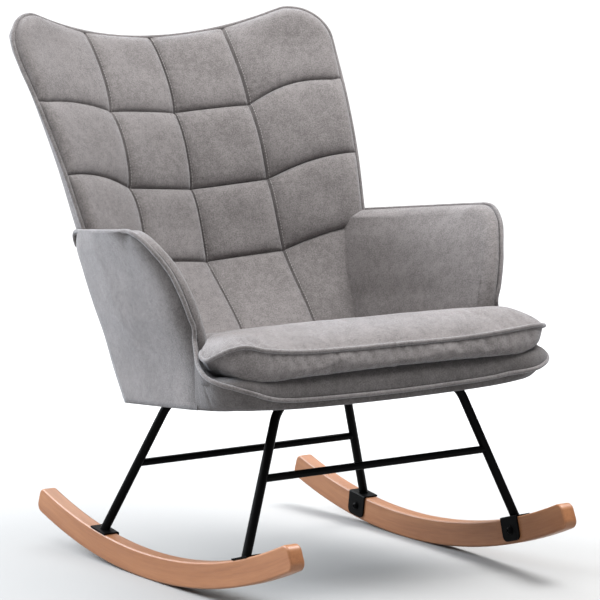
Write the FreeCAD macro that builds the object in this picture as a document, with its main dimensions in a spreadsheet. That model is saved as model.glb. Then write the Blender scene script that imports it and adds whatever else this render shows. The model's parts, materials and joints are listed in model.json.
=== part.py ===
import FreeCAD, Part
import math
import os
import re

import Sketcher

# Upholstered rocking chair. Millimetres, +Z up, the sitter faces -Y, X = 0 is the plane of symmetry.
# The origin is on the floor, under the middle of the chair, where the two rockers touch it.

Vector = FreeCAD.Vector
X_AXIS = Vector(1, 0, 0)
Y_AXIS = Vector(0, 1, 0)
Z_AXIS = Vector(0, 0, 1)

# ---------------------------------------------------------------- driving dimensions
DIMENSIONS = [
    # rockers
    ("rocker_radius", 1107), ("rocker_depth", 45), ("rocker_width", 28), ("rocker_spacing", 565),
    ("rocker_rear", 360), ("rocker_front", 455.3), ("rocker_end_round", 14), ("rocker_edge_round", 4),
    # bent tube leg frames: foot positions, heights of the top runs, lean and splay in degrees
    ("tube_diameter", 16), ("tube_wall", 1.5), ("tube_bend", 60), ("leg_splay", 21.4),
    ("front_foot", 301), ("front_top", 338), ("front_lean", 10.85),
    ("rear_foot", 147), ("rear_top", 302), ("rear_lean", 16.26), ("foot_overrun", 18),
    ("bar_diameter", 13), ("bar_wall", 1.2), ("front_bar_height", 211), ("rear_bar_height", 176),
    # brackets and their fasteners
    ("bracket_length", 46), ("bracket_drop", 40), ("bracket_plate", 3), ("bracket_gap", 0.25),
    ("bracket_corner", 11), ("bolt_drop", 21), ("bolt_diameter", 6), ("bolt_length", 17),
    ("bolt_head_diameter", 12), ("bolt_head_height", 3.4), ("bolt_socket", 4), ("socket_depth", 2),
    ("head_rim", 0.3), ("head_flat", 0.55), ("screw_clearance", 0.2),
    ("washer_diameter", 15), ("washer_thickness", 1.4), ("fit_gap", 0.05),
    ("insert_diameter", 10), ("insert_length", 14.8), ("insert_hole_depth", 15),
    # seat frame, in the tilted seat frame whose z = 0 is the top of the leg frames
    ("seat_height", 318.45), ("seat_tilt", 6.2),
    ("mount_bar_x", 122), ("mount_bar_width", 26), ("mount_bar_thickness", 4),
    ("mount_bar_front", 302), ("mount_bar_rear", 80),
    ("dust_cover_thickness", 0.8), ("rail_width", 22), ("rail_height", 20),
    ("rear_rail_width", 36),
    ("front_rail_y", 306), ("rear_rail_y", 80), ("side_rail_front_x", 309), ("side_rail_rear_x", 271),
    ("block_leg", 48), ("block_height", 16),
    ("spring_wire", 3.6), ("spring_half_width", 24), ("spring_bend", 12), ("spring_count", 5),
    ("spring_pitch", 92), ("clip_width", 16), ("clip_plate", 1.2), ("clip_reach", 6), ("clip_fold", 5),
    ("mount_screw_diameter", 6), ("mount_screw_length", 26), ("tee_barrel", 8), ("tee_flange", 18),
    ("tee_flange_thickness", 1.4), ("tee_length", 12),
    # soft front of the seat
    ("front_y", 332), ("front_half_width", 356), ("front_corner", 45), ("ear_rear_y", 226),
    ("apron_bottom", -26), ("apron_top", -5), ("pad_top", 38), ("rail_gap", 0.3), ("rail_clear", 1),
    ("ear_round", 8), ("nook_round", 3), ("notch_round", 2), ("pad_rear_round", 4), ("deck_gap", 0.2),
    ("pad_half_front", 266), ("pad_half_rear", 231), ("pad_rear_y", 112),
    # loose cushion: bottom, seam level and top, with its outline pulled in at top and bottom
    ("cushion_bottom", 38.6), ("cushion_seam", 70), ("cushion_top", 99), ("cushion_front", 325),
    ("cushion_half_front", 356), ("cushion_ear_y", 232), ("cushion_half_middle", 262),
    ("cushion_half_rear", 224), ("cushion_rear_side", 58), ("cushion_rear_middle", 96),
    ("cushion_inset", 14), ("cushion_corner", 34), ("cushion_skin", 2.5),
    ("cushion_ear_round", 14), ("cushion_nook_round", 6), ("cushion_side_round", 24),
    ("cushion_rear_round", 40), ("cushion_seam_shift", 12), ("cushion_top_shift", 40),
    # back outline, seen from the front
    ("back_bottom", 299), ("board_bottom", 313), ("pad_bottom", 346),
    ("back_half_bottom", 260), ("back_half_top", 346),
    ("back_shoulder", 888), ("back_dip", 899), ("wing_join_x", 271.6), ("wing_join_z", 949),
    ("wing_round_x", 330), ("wing_round_z", 936), ("board_inset", 18), ("board_slot", 9),
    ("layer_gap", 0.4),
    # arms
    ("arm_cover_thickness", 5), ("arm_board_thickness", 9), ("arm_board_inset", 12),
    ("arm_bulge", 5), ("arm_pad_bottom", 25.5),
    ("piping_radius", 3.6), ("piping_start", 604), ("cushion_piping", 2.4), ("piping_gap", 0.3),
    ("piping_tuck", 4), ("piping_ease", 8), ("piping_below_shoulder", 12), ("ear_gap", 0.6),
    # wood screws that hold the back board and the arm boards on the seat frame
    ("wood_screw_diameter", 4), ("wood_screw_length", 30), ("wood_screw_head", 4),
    ("wood_screw_sink", 1.6), ("back_screw_outer", 235), ("back_screw_inner", 180),
    ("arm_screw_front", 190), ("arm_screw_middle", 75), ("arm_screw_rear", 35),
]

# Levels of the back: height, then distance behind the origin of four faces, each at the middle and
# at the side: front of the pad, front of the board, rear of the cover. The half width is the outline's.
BACK_COLUMNS = ("z", "pad_mid", "pad_side", "board_mid", "board_side", "rear_mid", "rear_side")
BACK_LEVELS = [
    (290, 66, 52, 82, 78, 108, 92),
    (345, 106, 66, 122, 92, 150, 114),
    (400, 142, 92, 172, 118, 204, 140),
    (500, 232, 146, 266, 168, 288, 188),
    (590, 268, 182, 304, 196, 326, 214),
    (690, 310, 222, 346, 234, 366, 250),
    (800, 356, 282, 390, 290, 410, 306),
    (890, 406, 338, 431, 344, 446, 358),
    (965, 455, 388, 474, 394, 488, 407),
]

# Levels of an arm in the tilted seat frame: height, front corner, rear corner, thickness.
ARM_COLUMNS = ("z", "front_x", "front_y", "rear_x", "rear_y", "thick")
ARM_LEVELS = [
    (-17, 317, -215, 285, 70, 45),
    (40, 318, -216, 288, 94, 47),
    (115, 322, -217, 292, 120, 50),
    (160, 332, -212, 296, 138, 52),
    (201, 345, -205, 299, 152, 54),
    (238, 360, -187, 303, 164, 54),
    (262, 371, -160, 306, 170, 50),
    (280, 374, -125, 307, 172, 38),
    (287, 372, -108, 307, 172, 24),
]

doc = FreeCAD.newDocument("rocking_chair")
sheet = doc.addObject("Spreadsheet::Sheet", "dims")
aliases = []


def add_dimension(alias, number):
    """Put one driving dimension in the sheet, under its own name."""
    row = len(aliases) + 1
    sheet.set("A%d" % row, alias)
    sheet.set("B%d" % row, str(number))
    sheet.setAlias("B%d" % row, alias)
    aliases.append(alias)


for dimension_name, dimension_value in DIMENSIONS:
    add_dimension(dimension_name, dimension_value)
for prefix, columns, levels in (("back", BACK_COLUMNS, BACK_LEVELS), ("arm", ARM_COLUMNS, ARM_LEVELS)):
    for number, level in enumerate(levels):
        for column, level_value in zip(columns, level):
            add_dimension("%s_level%d_%s" % (prefix, number, column), level_value)
doc.recompute()

ALIAS_PATTERN = re.compile(r"\b(" + "|".join(sorted(aliases, key=len, reverse=True)) + r")\b")
nodes = {}


# ---------------------------------------------------------------- helpers
def expression(text):
    """Expression text in which each driving dimension names the sheet it is in."""
    return ALIAS_PATTERN.sub(r"dims.\1", str(text))


def value(text):
    """Number that an expression over the driving dimensions gives."""
    return float(sheet.evalExpression(expression(text)))


def bind(item, prop, text):
    item.setExpression(prop, expression(text))


def keep(label, item):
    """Name a finished sub-part: the label is also its file's name."""
    item.Label = label
    nodes[label] = item
    return item


def put(item, x="0", y="0", z="0", axis=X_AXIS, angle="0"):
    """Position bound to the sheet, and a turn about one axis."""
    turn = FreeCAD.Rotation(axis, value(angle))
    item.Placement = FreeCAD.Placement(Vector(value(x), value(y), value(z)), turn)
    for direction, text in (("x", x), ("y", y), ("z", z)):
        bind(item, "Placement.Base.%s" % direction, text)
    return item


def place_on_seat(item):
    """Tilted seat frame: z = 0 is the plane on top of the two leg frames."""
    return put(item, z="seat_height", angle="-seat_tilt")


def seat_placement():
    turn = FreeCAD.Rotation(X_AXIS, -value("seat_tilt"))
    return FreeCAD.Placement(Vector(0, 0, value("seat_height")), turn)


def new_body(name):
    return doc.addObject("PartDesign::Body", name)


def new_sketch(body, name, role, offset="0"):
    """Sketch on one of the body's own origin planes, moved along the plane's normal."""
    sketch = body.newObject("Sketcher::SketchObject", name)
    plane = next(item for item in body.Origin.OriginFeatures if item.Role == role)
    sketch.AttachmentSupport = [(plane, "")]
    sketch.MapMode = "FlatFace"
    bind(sketch, "AttachmentOffset.Base.z", offset)
    return sketch


def fix_point(sketch, geometry, end, x, y):
    """Tie one point of a sketch to its distances from the sketch's origin."""
    for kind, text, axis_line in (("DistanceX", x, -2), ("DistanceY", y, -1)):
        number = value(text)
        if abs(number) < 1e-9:
            sketch.addConstraint(Sketcher.Constraint("PointOnObject", geometry, end, axis_line))
        else:
            index = sketch.addConstraint(Sketcher.Constraint(kind, -1, 1, geometry, end, number))
            bind(sketch, "Constraints[%d]" % index, text)


def polygon(sketch, points):
    """Closed outline of straight lines through the given points."""
    corners = [Vector(value(x), value(y), 0) for x, y in points]
    first = sketch.GeometryCount
    count = len(corners)
    for index in range(count):
        sketch.addGeometry(Part.LineSegment(corners[index], corners[(index + 1) % count]))
    for index in range(count):
        following = first + (index + 1) % count
        sketch.addConstraint(Sketcher.Constraint("Coincident", first + index, 2, following, 1))
    for index, (x, y) in enumerate(points):
        fix_point(sketch, first + index, 1, x, y)


def rectangle(sketch, left, bottom, right, top):
    polygon(sketch, [(left, bottom), (right, bottom), (right, top), (left, top)])


def circle(sketch, x, y, radius):
    centre = Vector(value(x), value(y), 0)
    index = sketch.addGeometry(Part.Circle(centre, Z_AXIS, value(radius)))
    fix_point(sketch, index, 3, x, y)
    number = sketch.addConstraint(Sketcher.Constraint("Radius", index, value(radius)))
    bind(sketch, "Constraints[%d]" % number, radius)


def pad(body, sketch, length, side="One side", backwards=False):
    feature = body.newObject("PartDesign::Pad", sketch.Name + "_pad")
    feature.Profile = sketch
    feature.SideType = side
    feature.Reversed = backwards
    bind(feature, "Length", length)
    doc.recompute()
    return feature


def pocket(body, sketch, length, side="One side", backwards=False):
    """Cut a sketch's shape out of the body, and check that something was cut."""
    volume = body.Shape.Volume
    feature = body.newObject("PartDesign::Pocket", sketch.Name + "_pocket")
    feature.Profile = sketch
    feature.SideType = side
    feature.Reversed = backwards
    bind(feature, "Length", length)
    doc.recompute()
    if body.Shape.Volume > volume - 1:
        raise RuntimeError("%s cuts nothing" % feature.Name)
    return feature


def fillet(body, feature, test, radius):
    """Round those edges of a feature that pass the test."""
    names = ["Edge%d" % (n + 1) for n, edge in enumerate(feature.Shape.Edges) if test(edge)]
    rounding = body.newObject("PartDesign::Fillet", feature.Name + "_round")
    rounding.Base = (feature, names)
    bind(rounding, "Radius", radius)
    doc.recompute()
    return rounding


def along(edge, direction):
    """Whether an edge is straight and runs in a direction."""
    if edge.Curve.TypeId != "Part::GeomLine":
        return False
    return abs(abs(edge.Curve.Direction.dot(direction)) - 1) < 1e-6


def copies(label, master, placements):
    """One node that holds a piece several times, as separate solids."""
    links = []
    for number, placement in enumerate(placements):
        link = doc.addObject("App::Link", "%s_%d" % (label, number))
        link.LinkedObject = master
        link.Placement = placement
        links.append(link)
    group = doc.addObject("Part::Compound", label)
    group.Links = links
    return keep(label, group)


def group_of(label, items):
    group = doc.addObject("Part::Compound", label)
    group.Links = items
    return keep(label, group)


def boolean(kind, name, base, tool):
    """Part::Cut or Part::Common of two objects."""
    result = doc.addObject("Part::%s" % kind, name)
    result.Base = base
    result.Tool = tool
    doc.recompute()
    return result


def plain_feature(name, shape, placement=None):
    """Object whose shape is worked out from the sheet by Part's own functions."""
    item = doc.addObject("Part::Feature", name)
    item.Shape = shape
    if placement:
        item.Placement = placement
    return item


SIDES = (("left", -1), ("right", 1))


# ---------------------------------------------------------------- rockers
INNER_RADIUS = "(rocker_radius - rocker_depth)"
FEET = {"front": "-front_foot", "rear": "rear_foot"}


def rocker_top(y):
    """Height of a rocker's upper face, as an expression, at a distance y."""
    return "rocker_radius - sqrt(pow(%s; 2) - pow(%s; 2))" % (INNER_RADIUS, y)


def rocker_slope(y):
    """Slope of the upper face there, in degrees."""
    return math.degrees(math.asin(value(y) / value(INNER_RADIUS)))


def bracket_placement(side, foot):
    """Frame of a bracket: on the rocker's upper face, turned with its slope."""
    y = FEET[foot]
    base = Vector(side * value("rocker_spacing / 2"), value(y), value(rocker_top(y)))
    return FreeCAD.Placement(base, FreeCAD.Rotation(X_AXIS, rocker_slope(y)))


def make_rocker(name, side):
    """Wooden runner: a band between two concentric arcs, square-cut ends, all edges softened."""
    body = new_body("rocker_%s" % name)
    sketch = new_sketch(body, "rocker_outline_%s" % name, "YZ_Plane")
    outer = value("rocker_radius")
    inner = value(INNER_RADIUS)
    start = math.atan2(-value("rocker_front"), math.sqrt(outer ** 2 - value("rocker_front") ** 2))
    end = math.atan2(value("rocker_rear"), math.sqrt(outer ** 2 - value("rocker_rear") ** 2))
    centre = Vector(0, outer, 0)
    down = -math.pi / 2
    ends = []
    for radius in (outer, inner):
        arc = Part.Circle(centre, Z_AXIS, radius)
        sketch.addGeometry(Part.ArcOfCircle(arc, down + start, down + end))
        ends.append([centre + Vector(math.sin(a), -math.cos(a), 0) * radius for a in (start, end)])
    sketch.addGeometry(Part.LineSegment(ends[0][0], ends[1][0]))
    sketch.addGeometry(Part.LineSegment(ends[0][1], ends[1][1]))
    fix_point(sketch, 0, 3, "0", "rocker_radius")
    sketch.addConstraint(Sketcher.Constraint("Coincident", 0, 3, 1, 3))
    for line, end_number in ((2, 1), (3, 2)):
        sketch.addConstraint(Sketcher.Constraint("Coincident", 0, end_number, line, 1))
        sketch.addConstraint(Sketcher.Constraint("Coincident", 1, end_number, line, 2))
        sketch.addConstraint(Sketcher.Constraint("PointOnObject", 0, 3, line))
    for arc_number, text in ((0, "rocker_radius"), (1, INNER_RADIUS)):
        index = sketch.addConstraint(Sketcher.Constraint("Radius", arc_number, value(text)))
        bind(sketch, "Constraints[%d]" % index, text)
    for end_number, text in ((1, "-rocker_front"), (2, "rocker_rear")):
        index = sketch.addConstraint(Sketcher.Constraint("DistanceX", -1, 1, 0, end_number, value(text)))
        bind(sketch, "Constraints[%d]" % index, text)
    band = pad(body, sketch, "rocker_width", "Symmetric")
    ends_round = fillet(body, band, lambda edge: along(edge, X_AXIS), "rocker_end_round")
    half = value("rocker_width") / 2
    fillet(
        body, ends_round, lambda edge: abs(abs(edge.CenterOfMass.x) - half) < 1e-3, "rocker_edge_round"
    )
    # blind holes in the inner face, for the threaded inserts
    holes = new_sketch(body, "insert_holes_%s" % name, "YZ_Plane", "%d * rocker_width / 2" % -side)
    for foot in FEET:
        point = bracket_placement(side, foot).multVec(Vector(0, 0, -value("bolt_drop")))
        circle(holes, "%.4f" % point.y, "%.4f" % point.z, "insert_diameter / 2")
    pocket(body, holes, "insert_hole_depth", backwards=side > 0)
    put(body, x="%d * rocker_spacing / 2" % side)
    return keep("rocker_%s" % name, body)


for side_name, side_sign in SIDES:
    make_rocker(side_name, side_sign)


# ---------------------------------------------------------------- bent tube leg frames
LEAN = {"front": "-front_lean", "rear": "rear_lean"}


def leg_frame_placement(foot):
    base = Vector(0, value(FEET[foot]), value(rocker_top(FEET[foot])))
    return FreeCAD.Placement(base, FreeCAD.Rotation(X_AXIS, value(LEAN[foot])))


def make_tube_frame(foot):
    """Inverted U of round tube: two splayed legs and a top run, with a round bend at each corner."""
    body = new_body("%s_tube" % foot)
    splay = math.radians(value("leg_splay"))
    overrun = value("foot_overrun")
    rise = "(%s_top - (%s)) / cos(%s_lean)" % (foot, rocker_top(FEET[foot]), foot)
    height = value(rise)
    foot_x = value("rocker_spacing / 2") + overrun * math.tan(splay)
    corner_x = value("rocker_spacing / 2") - height * math.tan(splay)
    radius = value("tube_bend")
    turn = math.pi / 2 - splay
    tangent = radius * math.tan(turn / 2)
    leg_end = Vector(corner_x + tangent * math.sin(splay), height - tangent * math.cos(splay), 0)
    bend_end = Vector(corner_x - tangent, height, 0)
    middle = Vector(bend_end.x + radius * math.sin(turn / 2), height - radius * (1 - math.cos(turn / 2)), 0)
    path = new_sketch(body, "%s_path" % foot, "XZ_Plane")

    def mirrored(point):
        return Vector(-point.x, point.y, 0)

    path.addGeometry(Part.LineSegment(Vector(foot_x, -overrun, 0), leg_end))
    path.addGeometry(Part.Arc(leg_end, middle, bend_end))
    path.addGeometry(Part.LineSegment(bend_end, mirrored(bend_end)))
    path.addGeometry(Part.Arc(mirrored(bend_end), mirrored(middle), mirrored(leg_end)))
    path.addGeometry(Part.LineSegment(mirrored(leg_end), Vector(-foot_x, -overrun, 0)))
    section = new_sketch(body, "%s_section" % foot, "XY_Plane")
    section.AttachmentOffset = FreeCAD.Placement(
        Vector(foot_x, 0, -overrun), FreeCAD.Rotation(Y_AXIS, -value("leg_splay"))
    )
    section.setExpression("AttachmentOffset.Base.z", expression("-foot_overrun"))
    circle(section, "0", "0", "tube_diameter / 2")
    circle(section, "0", "0", "tube_diameter / 2 - tube_wall")
    doc.recompute()
    pipe = body.newObject("PartDesign::AdditivePipe", "%s_pipe" % foot)
    pipe.Profile = section
    pipe.Spine = (path, ["Edge%d" % number for number in range(1, 6)])
    doc.recompute()
    body.Placement = leg_frame_placement(foot)
    return body


def foot_cutter(side, foot):
    """Block that trims a leg's end to the bracket's flange."""
    block = doc.addObject("Part::Box", "trim_%s_%s" % (foot, "left" if side < 0 else "right"))
    bind(block, "Length", "4 * tube_diameter")
    bind(block, "Width", "4 * tube_diameter")
    bind(block, "Height", "4 * tube_diameter")
    corner = Vector(-2, -2, 0) * value("tube_diameter")
    corner.z = value("bracket_gap + bracket_plate") - 4 * value("tube_diameter")
    block.Placement = bracket_placement(side, foot).multiply(FreeCAD.Placement(corner, FreeCAD.Rotation()))
    return block


def leg_line(side, foot):
    """Placement whose Z axis runs up the middle of a leg, from its foot."""
    splay = FreeCAD.Rotation(Y_AXIS, -side * value("leg_splay"))
    start = Vector(side * value("rocker_spacing / 2"), 0, 0)
    return leg_frame_placement(foot).multiply(FreeCAD.Placement(start, splay))


def make_crossbar(foot):
    """Straight tube welded between the legs, its ends cut to the round of the leg tubes."""
    height = value("%s_bar_height" % foot)
    frame = leg_frame_placement(foot)
    up = frame.Rotation.multVec(Z_AXIS)
    middle = frame.Base + up * ((height - frame.Base.z) / up.z)
    rise = (height - frame.Base.z) / up.z
    half = value("rocker_spacing / 2") - rise * math.tan(math.radians(value("leg_splay")))
    tubes = []
    for name, radius in (("outside", "bar_diameter / 2"), ("inside", "bar_diameter / 2 - bar_wall")):
        tube = doc.addObject("Part::Cylinder", "%s_bar_%s" % (foot, name))
        bind(tube, "Radius", radius)
        tube.Height = 2 * half
        tube.Placement = FreeCAD.Placement(middle - X_AXIS * half, FreeCAD.Rotation(Z_AXIS, X_AXIS))
        tubes.append(tube)
    blank = boolean("Cut", "%s_bar_blank" % foot, tubes[0], tubes[1])
    legs = []
    for side_label, sign in SIDES:
        leg = doc.addObject("Part::Cylinder", "%s_cope_%s" % (foot, side_label))
        bind(leg, "Radius", "tube_diameter / 2")
        leg.Height = 2 * rise
        leg.Placement = leg_line(sign, foot)
        legs.append(leg)
    both = doc.addObject("Part::MultiFuse", "%s_copes" % foot)
    both.Shapes = legs
    return keep("%s_crossbar" % foot, boolean("Cut", "%s_crossbar" % foot, blank, both))


for foot_name in FEET:
    tube_body = make_tube_frame(foot_name)
    trims = doc.addObject("Part::MultiFuse", "%s_trims" % foot_name)
    trims.Shapes = [foot_cutter(sign, foot_name) for _, sign in SIDES]
    keep("%s_leg_frame" % foot_name, boolean("Cut", "%s_leg_frame" % foot_name, tube_body, trims))
    make_crossbar(foot_name)


# ---------------------------------------------------------------- brackets, bolts, washers, inserts
def make_bracket(name, side, foot):
    """Bent steel angle: the leg stands on its flange, and its tab lies on the rocker's inner face."""
    body = new_body("bracket_%s_%s" % (foot, name))
    sketch = new_sketch(body, "angle_%s_%s" % (foot, name), "XZ_Plane")
    edge = "%d * rocker_width / 2" % side
    face = "%d * rocker_width / 2" % -side
    outside = "%d * (rocker_width / 2 + bracket_plate)" % -side
    top = "bracket_gap + bracket_plate"
    polygon(sketch, [
        (edge, "bracket_gap"), (edge, top), (outside, top),
        (outside, "-bracket_drop"), (face, "-bracket_drop"), (face, "bracket_gap"),
    ])
    angle = pad(body, sketch, "bracket_length", "Symmetric")
    drop = value("bracket_drop")
    lower = fillet(
        body, angle,
        lambda item: along(item, X_AXIS) and abs(item.CenterOfMass.z + drop) < 1e-6,
        "bracket_corner",
    )
    bend_x = value(outside)
    bend_z = value(top)
    fillet(
        body, lower,
        lambda item: abs(item.CenterOfMass.x - bend_x) < 1e-6 and abs(item.CenterOfMass.z - bend_z) < 1e-6,
        "bracket_plate",
    )
    hole = new_sketch(body, "bolt_hole_%s_%s" % (foot, name), "YZ_Plane")
    circle(hole, "0", "-bolt_drop", "bolt_diameter / 2 + 2 * fit_gap")
    pocket(body, hole, "2 * rocker_width", "Symmetric")
    body.Placement = bracket_placement(side, foot)
    return keep("bracket_%s_%s" % (foot, name), body)


for foot_name in FEET:
    for side_name, side_sign in SIDES:
        make_bracket(side_name, side_sign, foot_name)


def make_screw(name, head_radius, head_height, diameter, length, seat):
    """Domed screw with a hexagon socket: the head's underside is at z = seat, the shank points down."""
    body = new_body(name)
    sketch = new_sketch(body, name + "_section", "XZ_Plane")
    polygon(sketch, [
        ("0", "%s - (%s)" % (seat, length)), ("%s / 2" % diameter, "%s - (%s)" % (seat, length)),
        ("%s / 2" % diameter, seat), (head_radius, seat),
        (head_radius, "%s + head_rim * %s" % (seat, head_height)),
        ("head_flat * %s" % head_radius, "%s + %s" % (seat, head_height)),
        ("0", "%s + %s" % (seat, head_height)),
    ])
    turned = body.newObject("PartDesign::Revolution", name + "_turned")
    turned.Profile = sketch
    turned.ReferenceAxis = (sketch, ["V_Axis"])
    turned.Angle = 360
    doc.recompute()
    socket = new_sketch(body, name + "_socket", "XY_Plane", "%s + %s" % (seat, head_height))
    corner = "bolt_socket / sqrt(3)"
    corners = [("%s * cos(%d)" % (corner, 60 * k), "%s * sin(%d)" % (corner, 60 * k)) for k in range(6)]
    polygon(socket, corners)
    pocket(body, socket, "socket_depth")
    return body


def make_ring(name, outer, inner, bottom, thickness):
    """Flat ring or sleeve about Z."""
    body = new_body(name)
    sketch = new_sketch(body, name + "_ring", "XY_Plane", bottom)
    circle(sketch, "0", "0", outer)
    circle(sketch, "0", "0", inner)
    pad(body, sketch, thickness)
    return body


def bolt_placements():
    """Frames of the four rocker bolts: z = 0 on the tab's outer face, Z pointing to the middle."""
    result = []
    for foot in FEET:
        for _, sign in SIDES:
            frame = bracket_placement(sign, foot)
            drop = Vector(-sign * value("rocker_width / 2 + bracket_plate"), 0, -value("bolt_drop"))
            turn = FreeCAD.Rotation(Z_AXIS, Vector(-sign, 0, 0))
            result.append(FreeCAD.Placement(frame.multVec(drop), turn))
    return result


rocker_bolt = make_screw(
    "rocker_bolt", "bolt_head_diameter / 2", "bolt_head_height", "bolt_diameter",
    "bolt_length + washer_thickness", "washer_thickness",
)
rocker_washer = make_ring(
    "rocker_washer", "washer_diameter / 2", "bolt_diameter / 2 + fit_gap", "0", "washer_thickness"
)
rocker_insert = make_ring(
    "rocker_insert", "insert_diameter / 2 - fit_gap", "bolt_diameter / 2 + fit_gap",
    "-bracket_plate - insert_length", "insert_length",
)
copies("rocker_bolts", rocker_bolt, bolt_placements())
copies("rocker_washers", rocker_washer, bolt_placements())
copies("rocker_inserts", rocker_insert, bolt_placements())


# ---------------------------------------------------------------- seat frame
RAIL_BOTTOM = "(mount_bar_thickness + dust_cover_thickness)"
RAIL_TOP = "(mount_bar_thickness + dust_cover_thickness + rail_height)"
REAR_INNER = "(rear_rail_y - rear_rail_width)"
SCREW_Y = {
    "front": "-(front_rail_y - rail_width / 2)",
    "rear": "rear_rail_y - rear_rail_width + rail_width / 2",
}
SCREW_HOLE = "mount_screw_diameter / 2 + screw_clearance"


def make_mount_bar(name, side):
    """Flat steel bar welded on top of both leg frames, drilled for the seat screws."""
    body = new_body("mount_bar_%s" % name)
    sketch = new_sketch(body, "mount_bar_outline_%s" % name, "XY_Plane")
    inner = "%d * (mount_bar_x - mount_bar_width / 2)" % side
    outer = "%d * (mount_bar_x + mount_bar_width / 2)" % side
    rectangle(sketch, inner, "-mount_bar_front", outer, "mount_bar_rear")
    for y in SCREW_Y.values():
        circle(sketch, "%d * mount_bar_x" % side, y, SCREW_HOLE)
    pad(body, sketch, "mount_bar_thickness")
    return keep("mount_bar_%s" % name, place_on_seat(body))


def make_rail(name, points, holes):
    """Straight wooden rail of the seat frame, with holes for tee nuts."""
    body = new_body(name)
    sketch = new_sketch(body, name + "_outline", "XY_Plane", RAIL_BOTTOM)
    polygon(sketch, points)
    for x, y in holes:
        circle(sketch, x, y, "tee_barrel / 2 + fit_gap")
    pad(body, sketch, "rail_height")
    return keep(name, place_on_seat(body))


for side_name, side_sign in SIDES:
    make_mount_bar(side_name, side_sign)

dust_cover = new_body("dust_cover")
dust_sketch = new_sketch(dust_cover, "dust_cover_outline", "XY_Plane", "mount_bar_thickness")
polygon(dust_sketch, [
    ("side_rail_front_x", "-front_rail_y"), ("side_rail_rear_x", "rear_rail_y"),
    ("-side_rail_rear_x", "rear_rail_y"), ("-side_rail_front_x", "-front_rail_y"),
])
for screw_y in SCREW_Y.values():
    for _, side_sign in SIDES:
        circle(dust_sketch, "%d * mount_bar_x" % side_sign, screw_y, SCREW_HOLE)
pad(dust_cover, dust_sketch, "dust_cover_thickness")
keep("dust_cover", place_on_seat(dust_cover))

make_rail("front_rail", [
    ("side_rail_front_x", "-front_rail_y"), ("side_rail_front_x", "-front_rail_y + rail_width"),
    ("-side_rail_front_x", "-front_rail_y + rail_width"), ("-side_rail_front_x", "-front_rail_y"),
], [("%d * mount_bar_x" % sign, SCREW_Y["front"]) for _, sign in SIDES])
make_rail("rear_rail", [
    ("side_rail_rear_x", REAR_INNER), ("side_rail_rear_x", "rear_rail_y"),
    ("-side_rail_rear_x", "rear_rail_y"), ("-side_rail_rear_x", REAR_INNER),
], [("%d * mount_bar_x" % sign, SCREW_Y["rear"]) for _, sign in SIDES])
for side_name, side_sign in SIDES:
    make_rail("side_rail_%s" % side_name, [
        ("%d * side_rail_front_x" % side_sign, "-front_rail_y + rail_width"),
        ("%d * side_rail_rear_x" % side_sign, REAR_INNER),
        ("%d * (side_rail_rear_x - rail_width)" % side_sign, REAR_INNER),
        ("%d * (side_rail_front_x - rail_width)" % side_sign, "-front_rail_y + rail_width"),
    ], [])


def make_corner_block(name, side, front):
    """Three-sided glue block in a corner of the seat frame."""
    body = new_body(name)
    sketch = new_sketch(body, name + "_outline", "XY_Plane", RAIL_BOTTOM)
    run = "(front_rail_y - rail_width + %s)" % REAR_INNER
    lean = "(side_rail_front_x - side_rail_rear_x) / %s" % run
    if front:
        x = "side_rail_front_x - rail_width"
        y = "-front_rail_y + rail_width"
        far = ("%d * (%s - block_leg * %s)" % (side, x, lean), "%s + block_leg" % y)
    else:
        x = "side_rail_rear_x - rail_width"
        y = REAR_INNER
        far = ("%d * (%s + block_leg * %s)" % (side, x, lean), "%s - block_leg" % y)
    polygon(sketch, [("%d * (%s)" % (side, x), y), ("%d * (%s - block_leg)" % (side, x), y), far])
    pad(body, sketch, "block_height")
    return place_on_seat(body)


group_of("corner_blocks", [
    make_corner_block("block_%s_%d" % (side_name, front), side_sign, front)
    for side_name, side_sign in SIDES for front in (0, 1)
])

# screws that hold the seat on the mount bars, and the tee nuts they turn into
seat_frame = seat_placement()


def seat_screw_placements(z):
    places = []
    for y in SCREW_Y.values():
        for _, sign in SIDES:
            at = seat_frame.multVec(Vector(sign * value("mount_bar_x"), value(y), value(z)))
            turn = seat_frame.Rotation.multiply(FreeCAD.Rotation(X_AXIS, 180))
            places.append(FreeCAD.Placement(at, turn))
    return places


seat_screw = make_screw(
    "seat_screw", "bolt_head_diameter / 2", "bolt_head_height", "mount_screw_diameter",
    "mount_screw_length", "washer_thickness",
)
seat_washer = make_ring(
    "seat_washer", "washer_diameter / 2", "mount_screw_diameter / 2 + fit_gap", "0", "washer_thickness"
)
copies("seat_screws", seat_screw, seat_screw_placements("0"))
copies("seat_washers", seat_washer, seat_screw_placements("0"))

tee_nut = new_body("tee_nut")
tee_barrel = new_sketch(tee_nut, "tee_nut_barrel", "XY_Plane")
circle(tee_barrel, "0", "0", "tee_barrel / 2")
circle(tee_barrel, "0", "0", "mount_screw_diameter / 2 + fit_gap")
pad(tee_nut, tee_barrel, "tee_length")
tee_flange = new_sketch(tee_nut, "tee_nut_flange", "XY_Plane")
circle(tee_flange, "0", "0", "tee_flange / 2")
circle(tee_flange, "0", "0", "mount_screw_diameter / 2 + fit_gap")
pad(tee_nut, tee_flange, "tee_flange_thickness", backwards=True)
copies("tee_nuts", tee_nut, seat_screw_placements(RAIL_TOP))


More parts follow.
